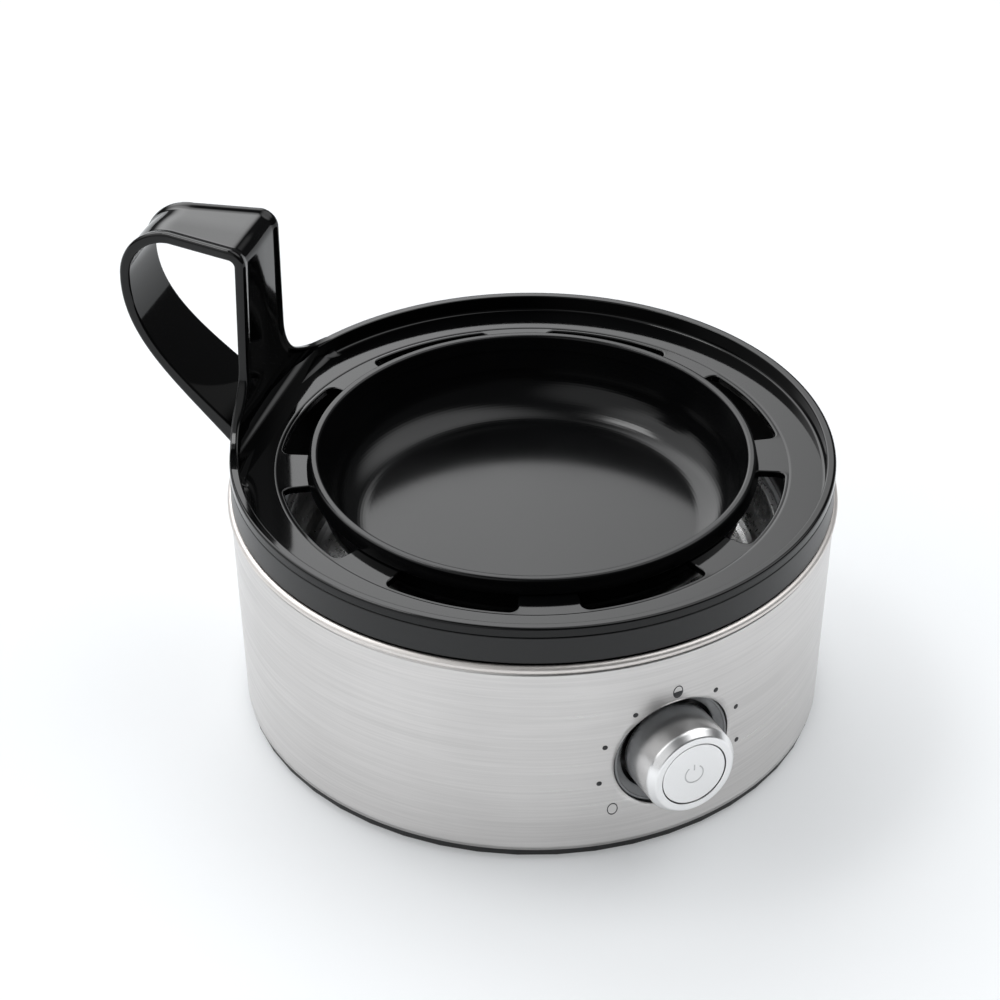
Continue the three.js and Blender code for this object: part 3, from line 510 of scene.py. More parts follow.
class Finishes:
    """Every finish of the boiler."""

    STEEL = BrushedSteel(
        "steel_brushed", (0.68, 0.664, 0.653), (0.6, 0.586, 0.576), 0.3, 1,
        grain=30, stretch=(1, 1, 50), gloss_spread=0.12, bump=0.2, bump_depth=0.02, cloud=22,
    )
    BEAD = BrushedSteel(
        "steel_rolled", (0.8, 0.765, 0.735), (0.74, 0.705, 0.68), 0.45, 1,
        grain=26, stretch=(1, 1, 60), gloss_spread=0.08, bump=0.06, bump_depth=0.02, cloud=17,
    )
    GLOSS_BLACK = Finish(
        "plastic_gloss_black", (0.0012, 0.0013, 0.0014), (0.0018, 0.0019, 0.0021), 0.07,
        grain=500, gloss_spread=0.03, bump=0.01, bump_depth=0.01, cloud=40, ior=1.38,
    )
    COLLAR_BLACK = Finish(
        "plastic_satin_black", (0.0035, 0.0038, 0.0042), (0.0055, 0.0059, 0.0064), 0.33,
        grain=1500, gloss_spread=0.08, bump=0.08, bump_depth=0.02, ior=1.46,
    )
    COATING = Finish(
        "coating_black", (0.0025, 0.0026, 0.0028), (0.004, 0.0042, 0.0046), 0.16,
        grain=1800, gloss_spread=0.1, bump=0.1, bump_depth=0.02, ior=1.36,
    )
    MATT_BLACK = Finish(
        "plastic_matt_black", (0.006, 0.0062, 0.007), (0.011, 0.0115, 0.012), 0.5,
        grain=1400, gloss_spread=0.14, bump=0.3, bump_depth=0.03,
    )
    DIAL_METAL = Finish(
        "aluminium_satin", (0.96, 0.96, 0.96), (0.9, 0.9, 0.9), 0.29, 1,
        grain=2500, gloss_spread=0.08, bump=0.06, bump_depth=0.01,
    )
    DISH_METAL = Finish(
        "aluminium_bright", (0.62, 0.62, 0.62), (0.54, 0.54, 0.54), 0.28, 1,
        grain=500, gloss_spread=0.08, bump=0.03, bump_depth=0.01,
    )
    CLEAR = Finish(
        "plastic_clear", (0.17, 0.174, 0.178), (0.24, 0.244, 0.25), 0.05,
        grain=600, gloss_spread=0.03, bump=0.02, coat=0.8,
    )
    DARK_METAL = Finish(
        "metal_dark", (0.22, 0.22, 0.23), (0.16, 0.16, 0.165), 0.45, 1,
        grain=900, gloss_spread=0.2, bump=0.2, bump_depth=0.03,
    )
    SILICONE = Finish(
        "silicone_grey", (0.33, 0.34, 0.35), (0.28, 0.29, 0.3), 0.6, grain=1200, bump=0.15,
    )
    RUBBER = Finish(
        "rubber_black", (0.012, 0.012, 0.013), (0.02, 0.02, 0.021), 0.7,
        grain=1600, gloss_spread=0.12, bump=0.35, bump_depth=0.04,
    )
    BOARD = Finish(
        "board_lacquer", (0.002, 0.0035, 0.0024), (0.003, 0.005, 0.0035), 0.6,
        grain=700, bump=0.1, coat=0.3,
    )
    LEAD = Finish("lead_red", (0.33, 0.03, 0.02), (0.26, 0.025, 0.02), 0.5, grain=900, bump=0.15)
    INK = Finish("ink_dark", (0.02, 0.021, 0.023), (0.03, 0.03, 0.033), 0.5, grain=2500, bump=0.1)
    ETCHING = Finish(
        "aluminium_etched", (0.68, 0.68, 0.685), (0.62, 0.62, 0.625), 0.42, 1, grain=2500, bump=0.1,
    )


# Sub-assemblies


@dataclass(frozen=True)
class Window:
    """The part of the wall's grid that is left out round a hole."""

    azimuth: float
    half_columns: int
    rows: tuple[int, int]
    height: float
    hole: float


@dataclass
class SteelBody:
    """Tapered steel wall with its dial hole and inlet hole, and the rolled bead on top."""

    foot_radius: float = 88.0
    top_radius: float = 90.3
    bottom: float = 3.9
    top: float = 69.6
    thickness: float = 0.7
    hem: float = 2.0
    hem_draft: float = 0.02
    bead_top: float = 72.25
    bead_proud: float = 0.85
    bead_tuck: float = -78.0
    bead_steps: int = 31
    windows: tuple[Window, Window] = (
        Window(-np.pi / 2, 15, (4, 35), 33.498, 18.7),
        Window(np.pi / 2, 5, (7, 17), 22.0, 6.3),
    )
    columns: int = 288
    rows: int = 44
    rings: int = 8

    def radius(self, height: Array | float) -> Array | float:
        """Outer radius of the wall at a height."""
        share = (height - self.bottom) / (self.top - self.bottom)
        return self.foot_radius + share * (self.top_radius - self.foot_radius)

    def on_wall(self, azimuth: Array, height: Array, proud: float = 0) -> Array:
        """Points (r cos(a), r sin(a), h), with r the wall's radius at h plus how proud they are."""
        r = self.radius(height) + proud
        return np.stack([r * np.cos(azimuth), r * np.sin(azimuth), height + 0 * azimuth], -1)

    def hole_ring(self, azimuths: Array, heights: Array, window: Window) -> Grid:
        """The wall between a round hole and its window in the wall's grid: each ring lies a share
        of the way along the straight lines from the hole's circle to the window's border.

        Args:
            azimuths: the window's columns.
            heights: the window's rows.
            window: the window, with the hole's place and its radius seen along its own axis.

        Returns:
            The grid of rings.
        """
        wide, tall = len(azimuths) - 1, len(heights) - 1
        left, right = azimuths[:1].repeat(tall), azimuths[-1:].repeat(tall)
        across = [azimuths[:-1], right, azimuths[:0:-1], left]
        up = [heights[:1].repeat(wide), heights[:-1], heights[-1:].repeat(wide), heights[:0:-1]]
        middle = (window.azimuth, window.height)
        border = np.stack([np.concatenate(across), np.concatenate(up)], -1) - middle
        wall = self.radius(window.height)
        turn = np.arctan2(border[:, 1], wall * np.sin(border[:, 0]))
        hole = window.hole * np.stack([np.cos(turn), np.sin(turn)], -1)
        hole[:, 0] = np.arcsin(hole[:, 0] / wall)
        share = np.linspace(0, 1, self.rings + 1)[:, None, None]
        places = hole + share * (border - hole) + middle
        return Grid(self.on_wall(places[..., 0], places[..., 1]))

    def wall(self) -> list[Grid]:
        """The wall's grid, a window left out round each hole, and the ring that fills each window.

        Returns:
            The grids, which share their borders.
        """
        heights = np.linspace(self.bottom, self.top, self.rows + 1)
        step, grids = 2 * np.pi / self.columns, []
        for window, other in zip(self.windows, self.windows[::-1]):
            half, (low, high) = window.half_columns, window.rows
            last = self.columns // 2 - other.half_columns
            columns = window.azimuth + step * np.arange(-half, half + 1)
            onward = window.azimuth + step * np.arange(half, last + 1)
            grids += [
                Grid(self.on_wall(part[None, :], levels[:, None]), wrap_columns=False)
                for part, levels in (
                    (onward, heights), (columns, heights[: low + 1]), (columns, heights[high:]),
                )
            ]
            grids.append(self.hole_ring(columns, heights[low : high + 1], window))
        return grids

    def bead(self) -> Grid:
        """The rolled bead: a half ellipse, closed behind by an upright face.

        Returns:
            The bead as a turned profile.
        """
        base = self.top_radius - self.thickness
        middle = (base, (self.top + self.bead_top) / 2)
        reach = (self.bead_proud + self.thickness, (self.bead_top - self.top) / 2)
        curve = arc(middle, reach, np.radians(np.linspace(self.bead_tuck, 90, self.bead_steps)))
        back = np.array([[base, self.bead_top], [base, self.top]])
        return turned(np.concatenate([curve, back]), circle(self.columns))

    def hem_ring(self) -> Grid:
        """The edge turned in at the wall's foot: a profile carried round the body's axis.

        Returns:
            The grid.
        """
        inner, upper = self.foot_radius - self.hem, self.bottom + self.thickness
        profile = outline(
            (inner, self.bottom, 0.1), (self.foot_radius, self.bottom, 0.25),
            (self.foot_radius - self.hem_draft, upper, 0.05), (inner, upper, 0.1),
        )
        return turned(profile, circle(self.columns))

    def build(self) -> None:
        """Makes the wall and its bead."""
        add_piece(
            "steel_wall", self.wall(), Finishes.STEEL, Body.HOUSING,
            ("steel_shell",), wall=self.thickness,
        )
        add_piece("steel_bead", [self.bead()], Finishes.BEAD, Body.HOUSING)
        add_piece("steel_hem", [self.hem_ring()], Finishes.STEEL, Body.HOUSING)


@dataclass
class Collar:
    """Black band above the steel, with the funnel that runs down to the heating dish."""

    radius: float = 90.0
    bottom: float = 73.0
    top: float = 81.75
    bore: float = 88.7
    shelf: float = 77.0
    shelf_radius: float = 87.2
    mouth: float = 76.4
    funnel_bottom: float = 61.0
    lip_bottom: float = 58.3
    lip_width: float = 5.0
    lip_thickness: float = 2.0
    crease_in: float = 3.1
    crease_up: float = 3.0
    skirt: float = 88.9
    skirt_bottom: float = 66.0
    skirt_wall: float = 1.8
    skirt_rise: float = 6.0
    segments: int = 256

    def build(self) -> None:
        """Makes the collar as one turned profile."""
        lip, inside = self.mouth + self.lip_width, self.skirt - self.skirt_wall
        profile = outline(
            (self.radius, self.bottom, 0.3), (self.radius, self.top, 0.35),
            (self.bore, self.top, 0.2), (self.bore, self.shelf, 0.2),
            (self.shelf_radius, self.shelf, 0.5),
            (self.mouth, self.funnel_bottom, 0.8), (self.mouth, self.lip_bottom, 0.3),
            (lip, self.lip_bottom, 0.2), (lip, self.lip_bottom + self.lip_thickness, 0.2),
            (self.mouth + self.crease_in, self.lip_bottom + self.crease_up, 0.2),
            (inside, self.skirt_bottom + self.skirt_rise, 0.3), (inside, self.skirt_bottom, 0.2),
            (self.skirt, self.skirt_bottom, 0.2), (self.skirt, self.bottom, 0.2),
        )
        add_piece(
            "collar_band", [turned(profile, circle(self.segments))], Finishes.COLLAR_BLACK,
            Body.HOUSING, ("upper_collar",),
        )


@dataclass
class TrayRing:
    """Lift-out black ring with eight tabs, and its looped strap handle."""

    top: float = 85.0
    rim_radius: float = 90.0
    rim_inner: float = 87.2
    rim_bottom: float = 82.05
    step_radius: float = 88.4
    plate_top: float = 80.25
    lip_radius: float = 76.7
    lip_height: float = 79.82
    slot_radius: float = 75.0
    slot_round: float = 2.4
    tab_top: float = 79.7
    under: float = 77.5
    tip_radius: float = 65.3
    tabs: int = 8
    tab_half_angle: float = 7.2
    tab_azimuth: float = -23.5
    under_edge: tuple[tuple[float, float], ...] = (
        (0.4, 0), (0.35, 0), (0.1, 0.1), (0, 0.35), (0, 0.4),
    )
    top_edge: tuple[tuple[float, float], ...] = (
        (0, 0.55), (0, 0.5), (0.05, 0.26), (0.2, 0.08), (0.5, 0), (0.6, 0),
    )
    seam: float = 1.2
    slot_steps: int = 13
    bend_steps: int = 9
    side_steps: int = 8
    tip_steps: int = 6
    handle_azimuth: float = 134.5
    post_reach: float = 86.2
    post_sink: float = 1.0
    post_stations: int = 64
    post_crowding: float = 1.7
    rise: float = 56.4
    corner: float = 3.4
    corner_steps: int = 12
    top_steps: int = 14
    end_steps: int = 28
    foot_steps: int = 49
    reach: float = 124.44
    end_width: float = 14.5
    end_height: float = 15.1
    end_pull: float = 0.33
    thickness: float = 2.6
    foot_thickness: float = 4.4
    lip: float = 0.7
    lip_width: float = 2.6
    lip_slope: float = 0.8
    crown: float = 0.3
    section_rounding: tuple[float, ...] = (0.8, 1.25, 0.7, 0.9, 3.0, 0.9, 0.7, 1.25, 0.8)
    post_half: float = 15.2
    corner_half: float = 13.9
    end_half: float = 10.5
    foot_half: float = 14.5
    foot_reach: float = 89.4
    foot_drop: float = 6.5
    foot_angle: float = 42.0
    foot_pull: float = 0.42
    flare: float = 24.0
    flare_height: float = 20.0
    flare_inset: float = 0.2
    blend: float = 0.25
    fillet: float = 1.0
    foot_fillet: float = 2.6

    def tab_outline(self) -> tuple[Array, Array]:
        """The plate's inner edge, slot by slot: along each slot's arc, round its corner, in along a
        tab's side, over its tip and out again.

        Returns:
            Plan points (n, 2) of the edge, and the azimuth of each one's partner on the lip.
        """
        half_pitch = np.pi / self.tabs
        side = half_pitch - np.radians(self.tab_half_angle)
        reach = self.slot_radius - self.slot_round
        corner = side - np.arcsin(self.slot_round / reach)
        slot = arc((0, 0), self.slot_radius, np.linspace(0, corner, self.slot_steps)[:-1])
        sweep = np.linspace(corner, side + np.pi / 2, self.bend_steps)
        bend = arc(arc((0, 0), reach, corner), self.slot_round, sweep)
        along = np.linspace(np.hypot(*bend[-1]), self.tip_radius, self.side_steps)[1:, None]
        tip = arc((0, 0), self.tip_radius, np.linspace(side, half_pitch, self.tip_steps)[1:])
        half = np.concatenate([slot, bend, along * arc((0, 0), 1, side), tip])
        steps = np.linalg.norm(np.diff(half, axis=0), axis=1)
        length = np.concatenate([[0], np.cumsum(steps)])[len(slot):]
        rest = np.interp(length, length[[0, -1]], [corner, half_pitch])
        partner = np.concatenate([np.arctan2(slot[:, 1], slot[:, 0]), rest])
        loop = np.concatenate([half, rotate(half[-2:0:-1] * [1, -1], 2 * half_pitch)])
        partner = np.concatenate([partner, 2 * half_pitch - partner[-2:0:-1]])
        turns = np.radians(self.tab_azimuth) + half_pitch * (1 + 2 * np.arange(self.tabs))
        points = np.concatenate([rotate(loop, turn) for turn in turns])
        return points, (turns[:, None] + partner).ravel()

    def base(self) -> Grid:
        """Ring, plate and tabs as one grid that closes on itself both ways: rows run from under the
        tabs over their edge to the lip, out over the rim and back underneath.

        Returns:
            The grid.
        """
        inner, azimuths = self.tab_outline()
        along = unit(np.roll(inner, -1, 0) - np.roll(inner, 1, 0))
        outward = np.stack([along[:, 1], -along[:, 0]], -1)
        edge = [(back, self.under + up) for back, up in self.under_edge]
        edge += [(back, self.tab_top - down) for back, down in self.top_edge]
        rows = [
            np.column_stack([inner + outward * back, np.full(len(inner), height)])
            for back, height in edge
        ]
        seam = self.slot_radius + self.seam
        profile = outline(
            (seam, self.tab_top, 0.05), (self.lip_radius, self.lip_height, 0.3),
            (self.rim_inner, self.lip_height, self.fillet), (self.rim_inner, self.top, 0.5),
            (self.rim_radius, self.top, 0.9), (self.rim_radius, self.rim_bottom, 0.2),
            (self.step_radius, self.rim_bottom, 0.15), (self.step_radius, self.under, 0.3),
            (seam, self.under, 0.05),
        )
        ring = turned(profile, azimuths, False)
        return Grid(np.concatenate([np.array(rows), ring.points]), wrap_rows=True)

    def path(self) -> tuple[Array, Array, Array, Array]:
        """The strap's middle line in the upright plane of the handle: a straight post, a quarter
        circle, a straight top, a quarter ellipse and a cubic curve back to the ring.

        Returns:
            Points (n, 2) of reach and rise, unit directions (n, 2), half widths and thicknesses.
        """
        straight = self.rise - self.corner
        depth = self.top - self.plate_top + self.post_sink
        levels = np.linspace(0, 1, self.post_stations) ** self.post_crowding
        levels = -depth + (straight + depth) * levels
        post = np.stack([np.full_like(levels, self.post_reach), levels], -1)
        hub, end_start = self.post_reach + self.corner, self.reach - self.end_width
        turn = np.radians(np.linspace(180, 90, self.corner_steps)[1:])
        bend = arc((hub, straight), self.corner, turn)
        across = np.linspace(hub, end_start, self.top_steps)[1:-1]
        top = np.stack([across, np.full_like(across, self.rise)], -1)
        end_size = (self.end_width, self.end_height)
        sweep = np.radians(np.linspace(90, 0, self.end_steps))
        end = arc((end_start, self.rise - self.end_height), end_size, sweep)
        first, last = end[-1], np.array([self.foot_reach, -self.foot_drop])
        span = np.linalg.norm(last - first)
        foot_pull = self.foot_pull * span * arc((0, 0), 1, np.radians(self.foot_angle))
        controls = np.array([first, first - [0, self.end_pull * span], last + foot_pull, last])
        t = np.linspace(0, 1, self.foot_steps)[1:, None]
        weights = np.concatenate([(1 - t) ** 3, 3 * t * (1 - t) ** 2, 3 * t**2 * (1 - t), t**3], 1)
        points = np.concatenate([post, bend, top, end, weights @ controls])
        directions = unit(np.gradient(points, axis=0))
        directions[: len(post) - 1] = [0, 1]
        low = np.clip(1 - levels / self.flare_height, 0, 1)
        flare = self.flare * (1 - np.sqrt(1 - low**2))
        post_half = np.interp(levels, [0, straight], [self.post_half, self.corner_half]) + flare
        top_reach = np.concatenate([bend, top])[:, 0]
        top_half = np.interp(top_reach, [hub, end_start], [self.corner_half, self.end_half])
        foot_half = self.end_half + (self.foot_half - self.end_half) * t[:, 0]
        half = np.concatenate([post_half, top_half, np.full(len(end), self.end_half), foot_half])
        thick = np.full(len(points), self.thickness)
        thick[-len(t):] += (self.foot_thickness - self.thickness) * t[:, 0] ** 3
        return points, directions, half, thick

    def strap(self) -> Grid:
        """The strap: a section with a raised lip along each edge of its outer face, carried along
        the path. A point of the post at width w keeps its reach only while that is inside the
        ring's wall: reach = smaller of its own and the wall's sqrt(R^2 - w^2), blended, where R
        runs from the wall's inner to its outer face as the point does across the strap. Over the
        plate the inner face runs out to the foot's fillet f, by a share (1 - sqrt(h / f))^2 at a
        height h over the plate.

        Returns:
            The closed grid, its two ends drawn to a point inside the ring.
        """
        points, directions, half, thick = self.path()
        face, lip = thick / 2, half - self.lip_width
        raised, slope = face + self.lip, self.lip_slope
        corners = (
            (-half, -face), (-half, raised), (-lip - slope, raised), (-lip + slope, face),
            (0 * half, face + self.crown),
            (lip - slope, face), (lip + slope, raised), (half, raised), (half, -face),
        )
        corners = np.stack([np.stack(corner, -1) for corner in corners], 1)
        section = held(rounded(corners, np.array(self.section_rounding)))
        width, out = section[..., 0], section[..., 1]
        reach = points[:, 0, None] - out * directions[:, 1, None]
        rise = points[:, 1, None] + out * directions[:, 0, None]
        across = reach - self.post_reach + self.thickness / 2 + self.lip
        across = across / (self.thickness + self.lip)
        inner, outer = self.rim_inner + self.flare_inset, self.rim_radius - self.flare_inset
        wall_reach = np.sqrt((inner + across * (outer - inner)) ** 2 - width**2)
        blend = self.blend * np.logaddexp(-reach / self.blend, -wall_reach / self.blend)
        on_post = (np.arange(len(points)) < self.post_stations)[:, None]
        reach = np.where(on_post, np.minimum(-blend, reach), reach)
        over = np.clip((rise + self.top - self.lip_height) / self.foot_fillet, 0, 1)
        fillet = np.sqrt((self.rim_inner - self.foot_fillet) ** 2 - width**2)
        inside = on_post * np.clip(1 - across, 0, 1)
        reach = reach - np.maximum(reach - fillet, 0) * inside * (1 - np.sqrt(over)) ** 2
        azimuth = np.radians(self.handle_azimuth)
        x = reach * np.cos(azimuth) - width * np.sin(azimuth)
        y = reach * np.sin(azimuth) + width * np.cos(azimuth)
        grid = np.stack([x, y, self.top + rise], -1)
        first, last = (0 * row + row.mean(1, keepdims=True) for row in (grid[:1], grid[-1:]))
        return Grid(np.concatenate([first, grid, last]))

    def build(self) -> None:
        """Makes the ring and its strap."""
        add_piece(
            "tray_plate", [self.base()], Finishes.GLOSS_BLACK, Body.TRAY,
            ("tray_ring",),
        )
        add_piece(
            "tray_handle", [self.strap()], Finishes.GLOSS_BLACK, Body.TRAY, sharp=60,
        )


@dataclass
class PoachingBowl:
    """Black bowl that stands on the tray's tabs by the shoulder of its rim."""

    rim_radius: float = 66.35
    rim_width: float = 2.5
    rim_top: float = 84.6
    shoulder_radius: float = 67.3
    shoulder: float = 80.0
    floor: float = 60.6
    wall: float = 1.2
    corner: float = 13.0
    draft: float = 1.5
    corner_steps: int = 25
    segments: int = 256

    def build(self) -> None:
        """Makes the bowl as one turned profile."""
        inner, lean = self.rim_radius - self.rim_width, self.draft / 2
        rim = outline(
            (inner + self.wall - lean, self.shoulder, 0.3),
            (self.shoulder_radius, self.shoulder, 0.3), (self.rim_radius, self.rim_top, 0.8),
            (inner, self.rim_top, 0.8), (inner - lean, self.shoulder, 0.3),
        )
        hub = inner - self.draft - self.corner
        shell = pan(hub, self.floor, self.corner, self.wall, rim, self.corner_steps, self.segments)
        add_piece(
            "bowl_shell", [shell], Finishes.COATING, Body.BOWL, ("poaching_bowl",),
        )


@dataclass
class Dial:
    """Dial with its button, in a clear ring set in the steel."""

    height: float = 33.498
    radius: float = 14.2
    front: float = 100.6
    back: float = 84.9
    wall: float = 1.8
    floor: float = 90.6
    floor_thickness: float = 2.0
    hub_radius: float = 6.0
    hub_bore: float = 3.3
    hub_length: float = 2.0
    nose_width: float = 1.7
    nose_depth: float = 2.3
    button_radius: float = 10.1
    button_gap: float = 0.3
    button_sink: float = 0.15
    button_thickness: float = 2.5
    skirt: float = 2.0
    skirt_length: float = 3.5
    stem_radius: float = 1.5
    stem_end: float = 79.6
    ring_inner: float = 15.3
    ring_outer: float = 18.3
    ring_front: float = 86.89
    ring_back: float = 83.19
    flange_radius: float = 21.4
    flange_front: float = 85.19
    land: float = 0.7
    land_step: tuple[float, float] = (0.1, 0.35)
    cone_edge: float = 0.3
    icon_radius: float = 2.9
    icon_line: float = 0.42
    icon_gap: float = 36.0
    icon_bar: tuple[float, float] = (0.45, 1.15)
    icon_proud: float = 0.01
    icon_depth: float = 0.008
    icon_steps: int = 65
    bar_steps: int = 9
    segments: int = 192

    def knob(self) -> Grid:
        """The dial: a cup with a cone on its front edge.

        Returns:
            The grid.
        """
        chamber, inside = self.button_radius + self.button_gap, self.radius - self.wall
        hub_end, face = self.floor - self.hub_length, self.floor + self.floor_thickness
        profile = outline(
            (self.radius, self.front - self.nose_depth, 0.6),
            (self.radius - self.nose_width, self.front, 0.5), (chamber, self.front, 0.18),
            (chamber, face, 0.2), (self.hub_bore, face, 0.2), (self.hub_bore, hub_end, 0.2),
            (self.hub_radius, hub_end, 0.2), (self.hub_radius, self.floor, 0.2),
            (inside, self.floor, 0.2), (inside, self.back, 0.2), (self.radius, self.back, 0.2),
        )
        return turned_level(profile, self.height, self.segments)

    def button(self) -> Grid:
        """The button: a disc with a rounded edge, its skirt and its stem.

        Returns:
            The grid.
        """
        front = self.front - self.button_sink
        back = front - self.button_thickness
        ring, skirt_end = self.button_radius - self.skirt, back - self.skirt_length
        profile = outline(
            (0, self.stem_end, 0), (self.stem_radius, self.stem_end, 0.2),
            (self.stem_radius, back, 0.2), (ring, back, 0.2), (ring, skirt_end, 0.2),
            (self.button_radius, skirt_end, 0.2), (self.button_radius, front, 0.35), (0, front, 0),
        )
        return turned_level(profile, self.height, self.segments, False)

    def ring(self) -> Grid:
        """The clear ring: a flat land, a fine step and a cone that falls in to the dial, with its
        flange behind the steel.

        Returns:
            The grid.
        """
        inner, outer, front = self.ring_inner, self.ring_outer, self.flange_front
        profile = outline(
            (inner, self.ring_back, 0.1), (self.flange_radius, self.ring_back, 0.1),
            (self.flange_radius, front, 0.1), (outer, front, 0.1), (outer, self.ring_front, 0.25),
            (outer - self.land, self.ring_front, 0.1),
            (outer - self.land - self.land_step[0], self.ring_front - self.land_step[1], 0.08),
            (inner + self.cone_edge, front, 0.3), (inner, front - self.cone_edge, 0.1),
        )
        return turned_level(profile, self.height, self.segments)

    def icon(self) -> list[Grid]:
        """The power sign on the button: a ring open at the top, (s cos(a), s sin(a)), and a bar.

        Returns:
            The ring's grid and the bar's.
        """
        place, half = -(self.front - self.button_sink + self.icon_proud), self.icon_line / 2
        angles = np.linspace(90 + self.icon_gap, 450 - self.icon_gap, self.icon_steps)
        angles = np.radians(angles)
        reach = self.icon_radius + np.array([-half, half])[:, None]
        levels = np.linspace(*self.icon_bar, self.bar_steps) * self.icon_radius
        bar = np.meshgrid([-half, half], levels)
        return [
            Grid(np.stack([x, place + 0 * x, self.height + y], -1), wrap_columns=False)
            for x, y in ((reach * np.cos(angles), reach * np.sin(angles)), bar)
        ]

    def build(self) -> None:
        """Makes the dial, the button, its sign and the ring."""
        add_piece("dial_cup", [self.knob()], Finishes.DIAL_METAL, Body.DIAL, ("dial_knob",))
        add_piece(
            "button_disc", [self.button()], Finishes.DIAL_METAL, Body.BUTTON,
            ("power_button",),
        )
        add_piece(
            "button_sign", self.icon(), Finishes.ETCHING, Body.BUTTON, wall=self.icon_depth,
        )
        add_piece(
            "dial_light_ring", [self.ring()], Finishes.CLEAR, Body.HOUSING,
            ("light_ring",),
        )


@dataclass
class HeatingDish:
    """Pressed dish under the tray, which holds the water."""

    radius: float = 73.0
    wall: float = 0.8
    corner: float = 12.0
    floor: float = 42.0
    flange: float = 56.2
    flange_radius: float = 79.8
    ridge: float = 57.0
    ridge_width: float = 1.9
    ridge_lean: float = 0.4
    ridge_crown: float = 0.1
    corner_steps: int = 13
    segments: int = 192

    def build(self) -> None:
        """Makes the dish as one turned profile."""
        under, crest = self.flange - self.wall, self.ridge - self.ridge_crown
        ridge = self.radius + self.ridge_width
        rim = np.array([
            (self.radius + self.wall, under), (self.flange_radius, under),
            (self.flange_radius, self.flange), (ridge, self.flange),
            (ridge - self.ridge_lean, crest), ((self.radius + ridge) / 2, self.ridge),
            (self.radius + self.ridge_lean, crest), (self.radius, self.flange),
        ])
        hub = self.radius - self.corner
        dish = pan(hub, self.floor, self.corner, self.wall, rim, self.corner_steps, self.segments)
        add_piece(
            "water_dish", [dish], Finishes.DISH_METAL, Body.HOUSING,
            ("heating_dish",),
        )


@dataclass
class Marks:
    """Printed marks round the dial: six dots and three eggs."""

    body: SteelBody
    dots: tuple[tuple[float, float], ...] = (
        (-14.8, 27.7), (-13.9, 40.9), (-8.3, 51.0), (8.4, 50.9), (13.8, 40.6), (14.7, 27.5),
    )
    dot_radius: float = 0.8
    half_egg: tuple[float, float] = (0.0, 55.6)
    empty_egg: tuple[float, float] = (-12.1, 17.3)
    full_egg: tuple[float, float] = (12.1, 17.3)
    egg_width: float = 1.6
    egg_height: float = 2.2
    line: float = 0.26
    proud: float = 0.05
    depth: float = 0.04
    rings: int = 4
    whole_steps: int = 48
    half_steps: int = 33

    def patch(
        self, place: tuple[float, float], width: float, height: float,
        inner: float = 0, half: bool = False,
    ) -> Grid:
        """An ellipse, its lower half, or the ring between two ellipses, laid on the wall: a point
        (s w cos(a), s h sin(a)) keeps its height and its width becomes an angle.

        Args:
            place: azimuth from the dial, in degrees, and height of its middle.
            width: the half width w.
            height: the half height h.
            inner: the smallest share s.
            half: True for the lower half alone.

        Returns:
            The grid.
        """
        lower = np.linspace(np.pi, 2 * np.pi, self.half_steps)
        angles = lower if half else circle(self.whole_steps)
        shares = np.linspace(inner, 1, self.rings)[:, None]
        across = shares * width * np.cos(angles) / self.body.radius(place[1])
        up = place[1] + shares * height * np.sin(angles)
        points = self.body.on_wall(np.radians(place[0] - 90) + across, up, self.proud)
        return Grid(points, wrap_columns=not half)

    def build(self) -> None:
        """Makes all the marks as one thin piece."""
        inner = 1 - self.line / self.egg_width
        eggs = (self.egg_width, self.egg_height)
        inside = (inner * self.egg_width, inner * self.egg_height)
        grids = [self.patch(place, self.dot_radius, self.dot_radius) for place in self.dots]
        grids += [self.patch(place, *eggs, inner) for place in (self.half_egg, self.empty_egg)]
        grids += [self.patch(self.half_egg, *inside, half=True), self.patch(self.full_egg, *eggs)]
        add_piece("dial_marks", grids, Finishes.INK, Body.HOUSING, wall=self.depth)


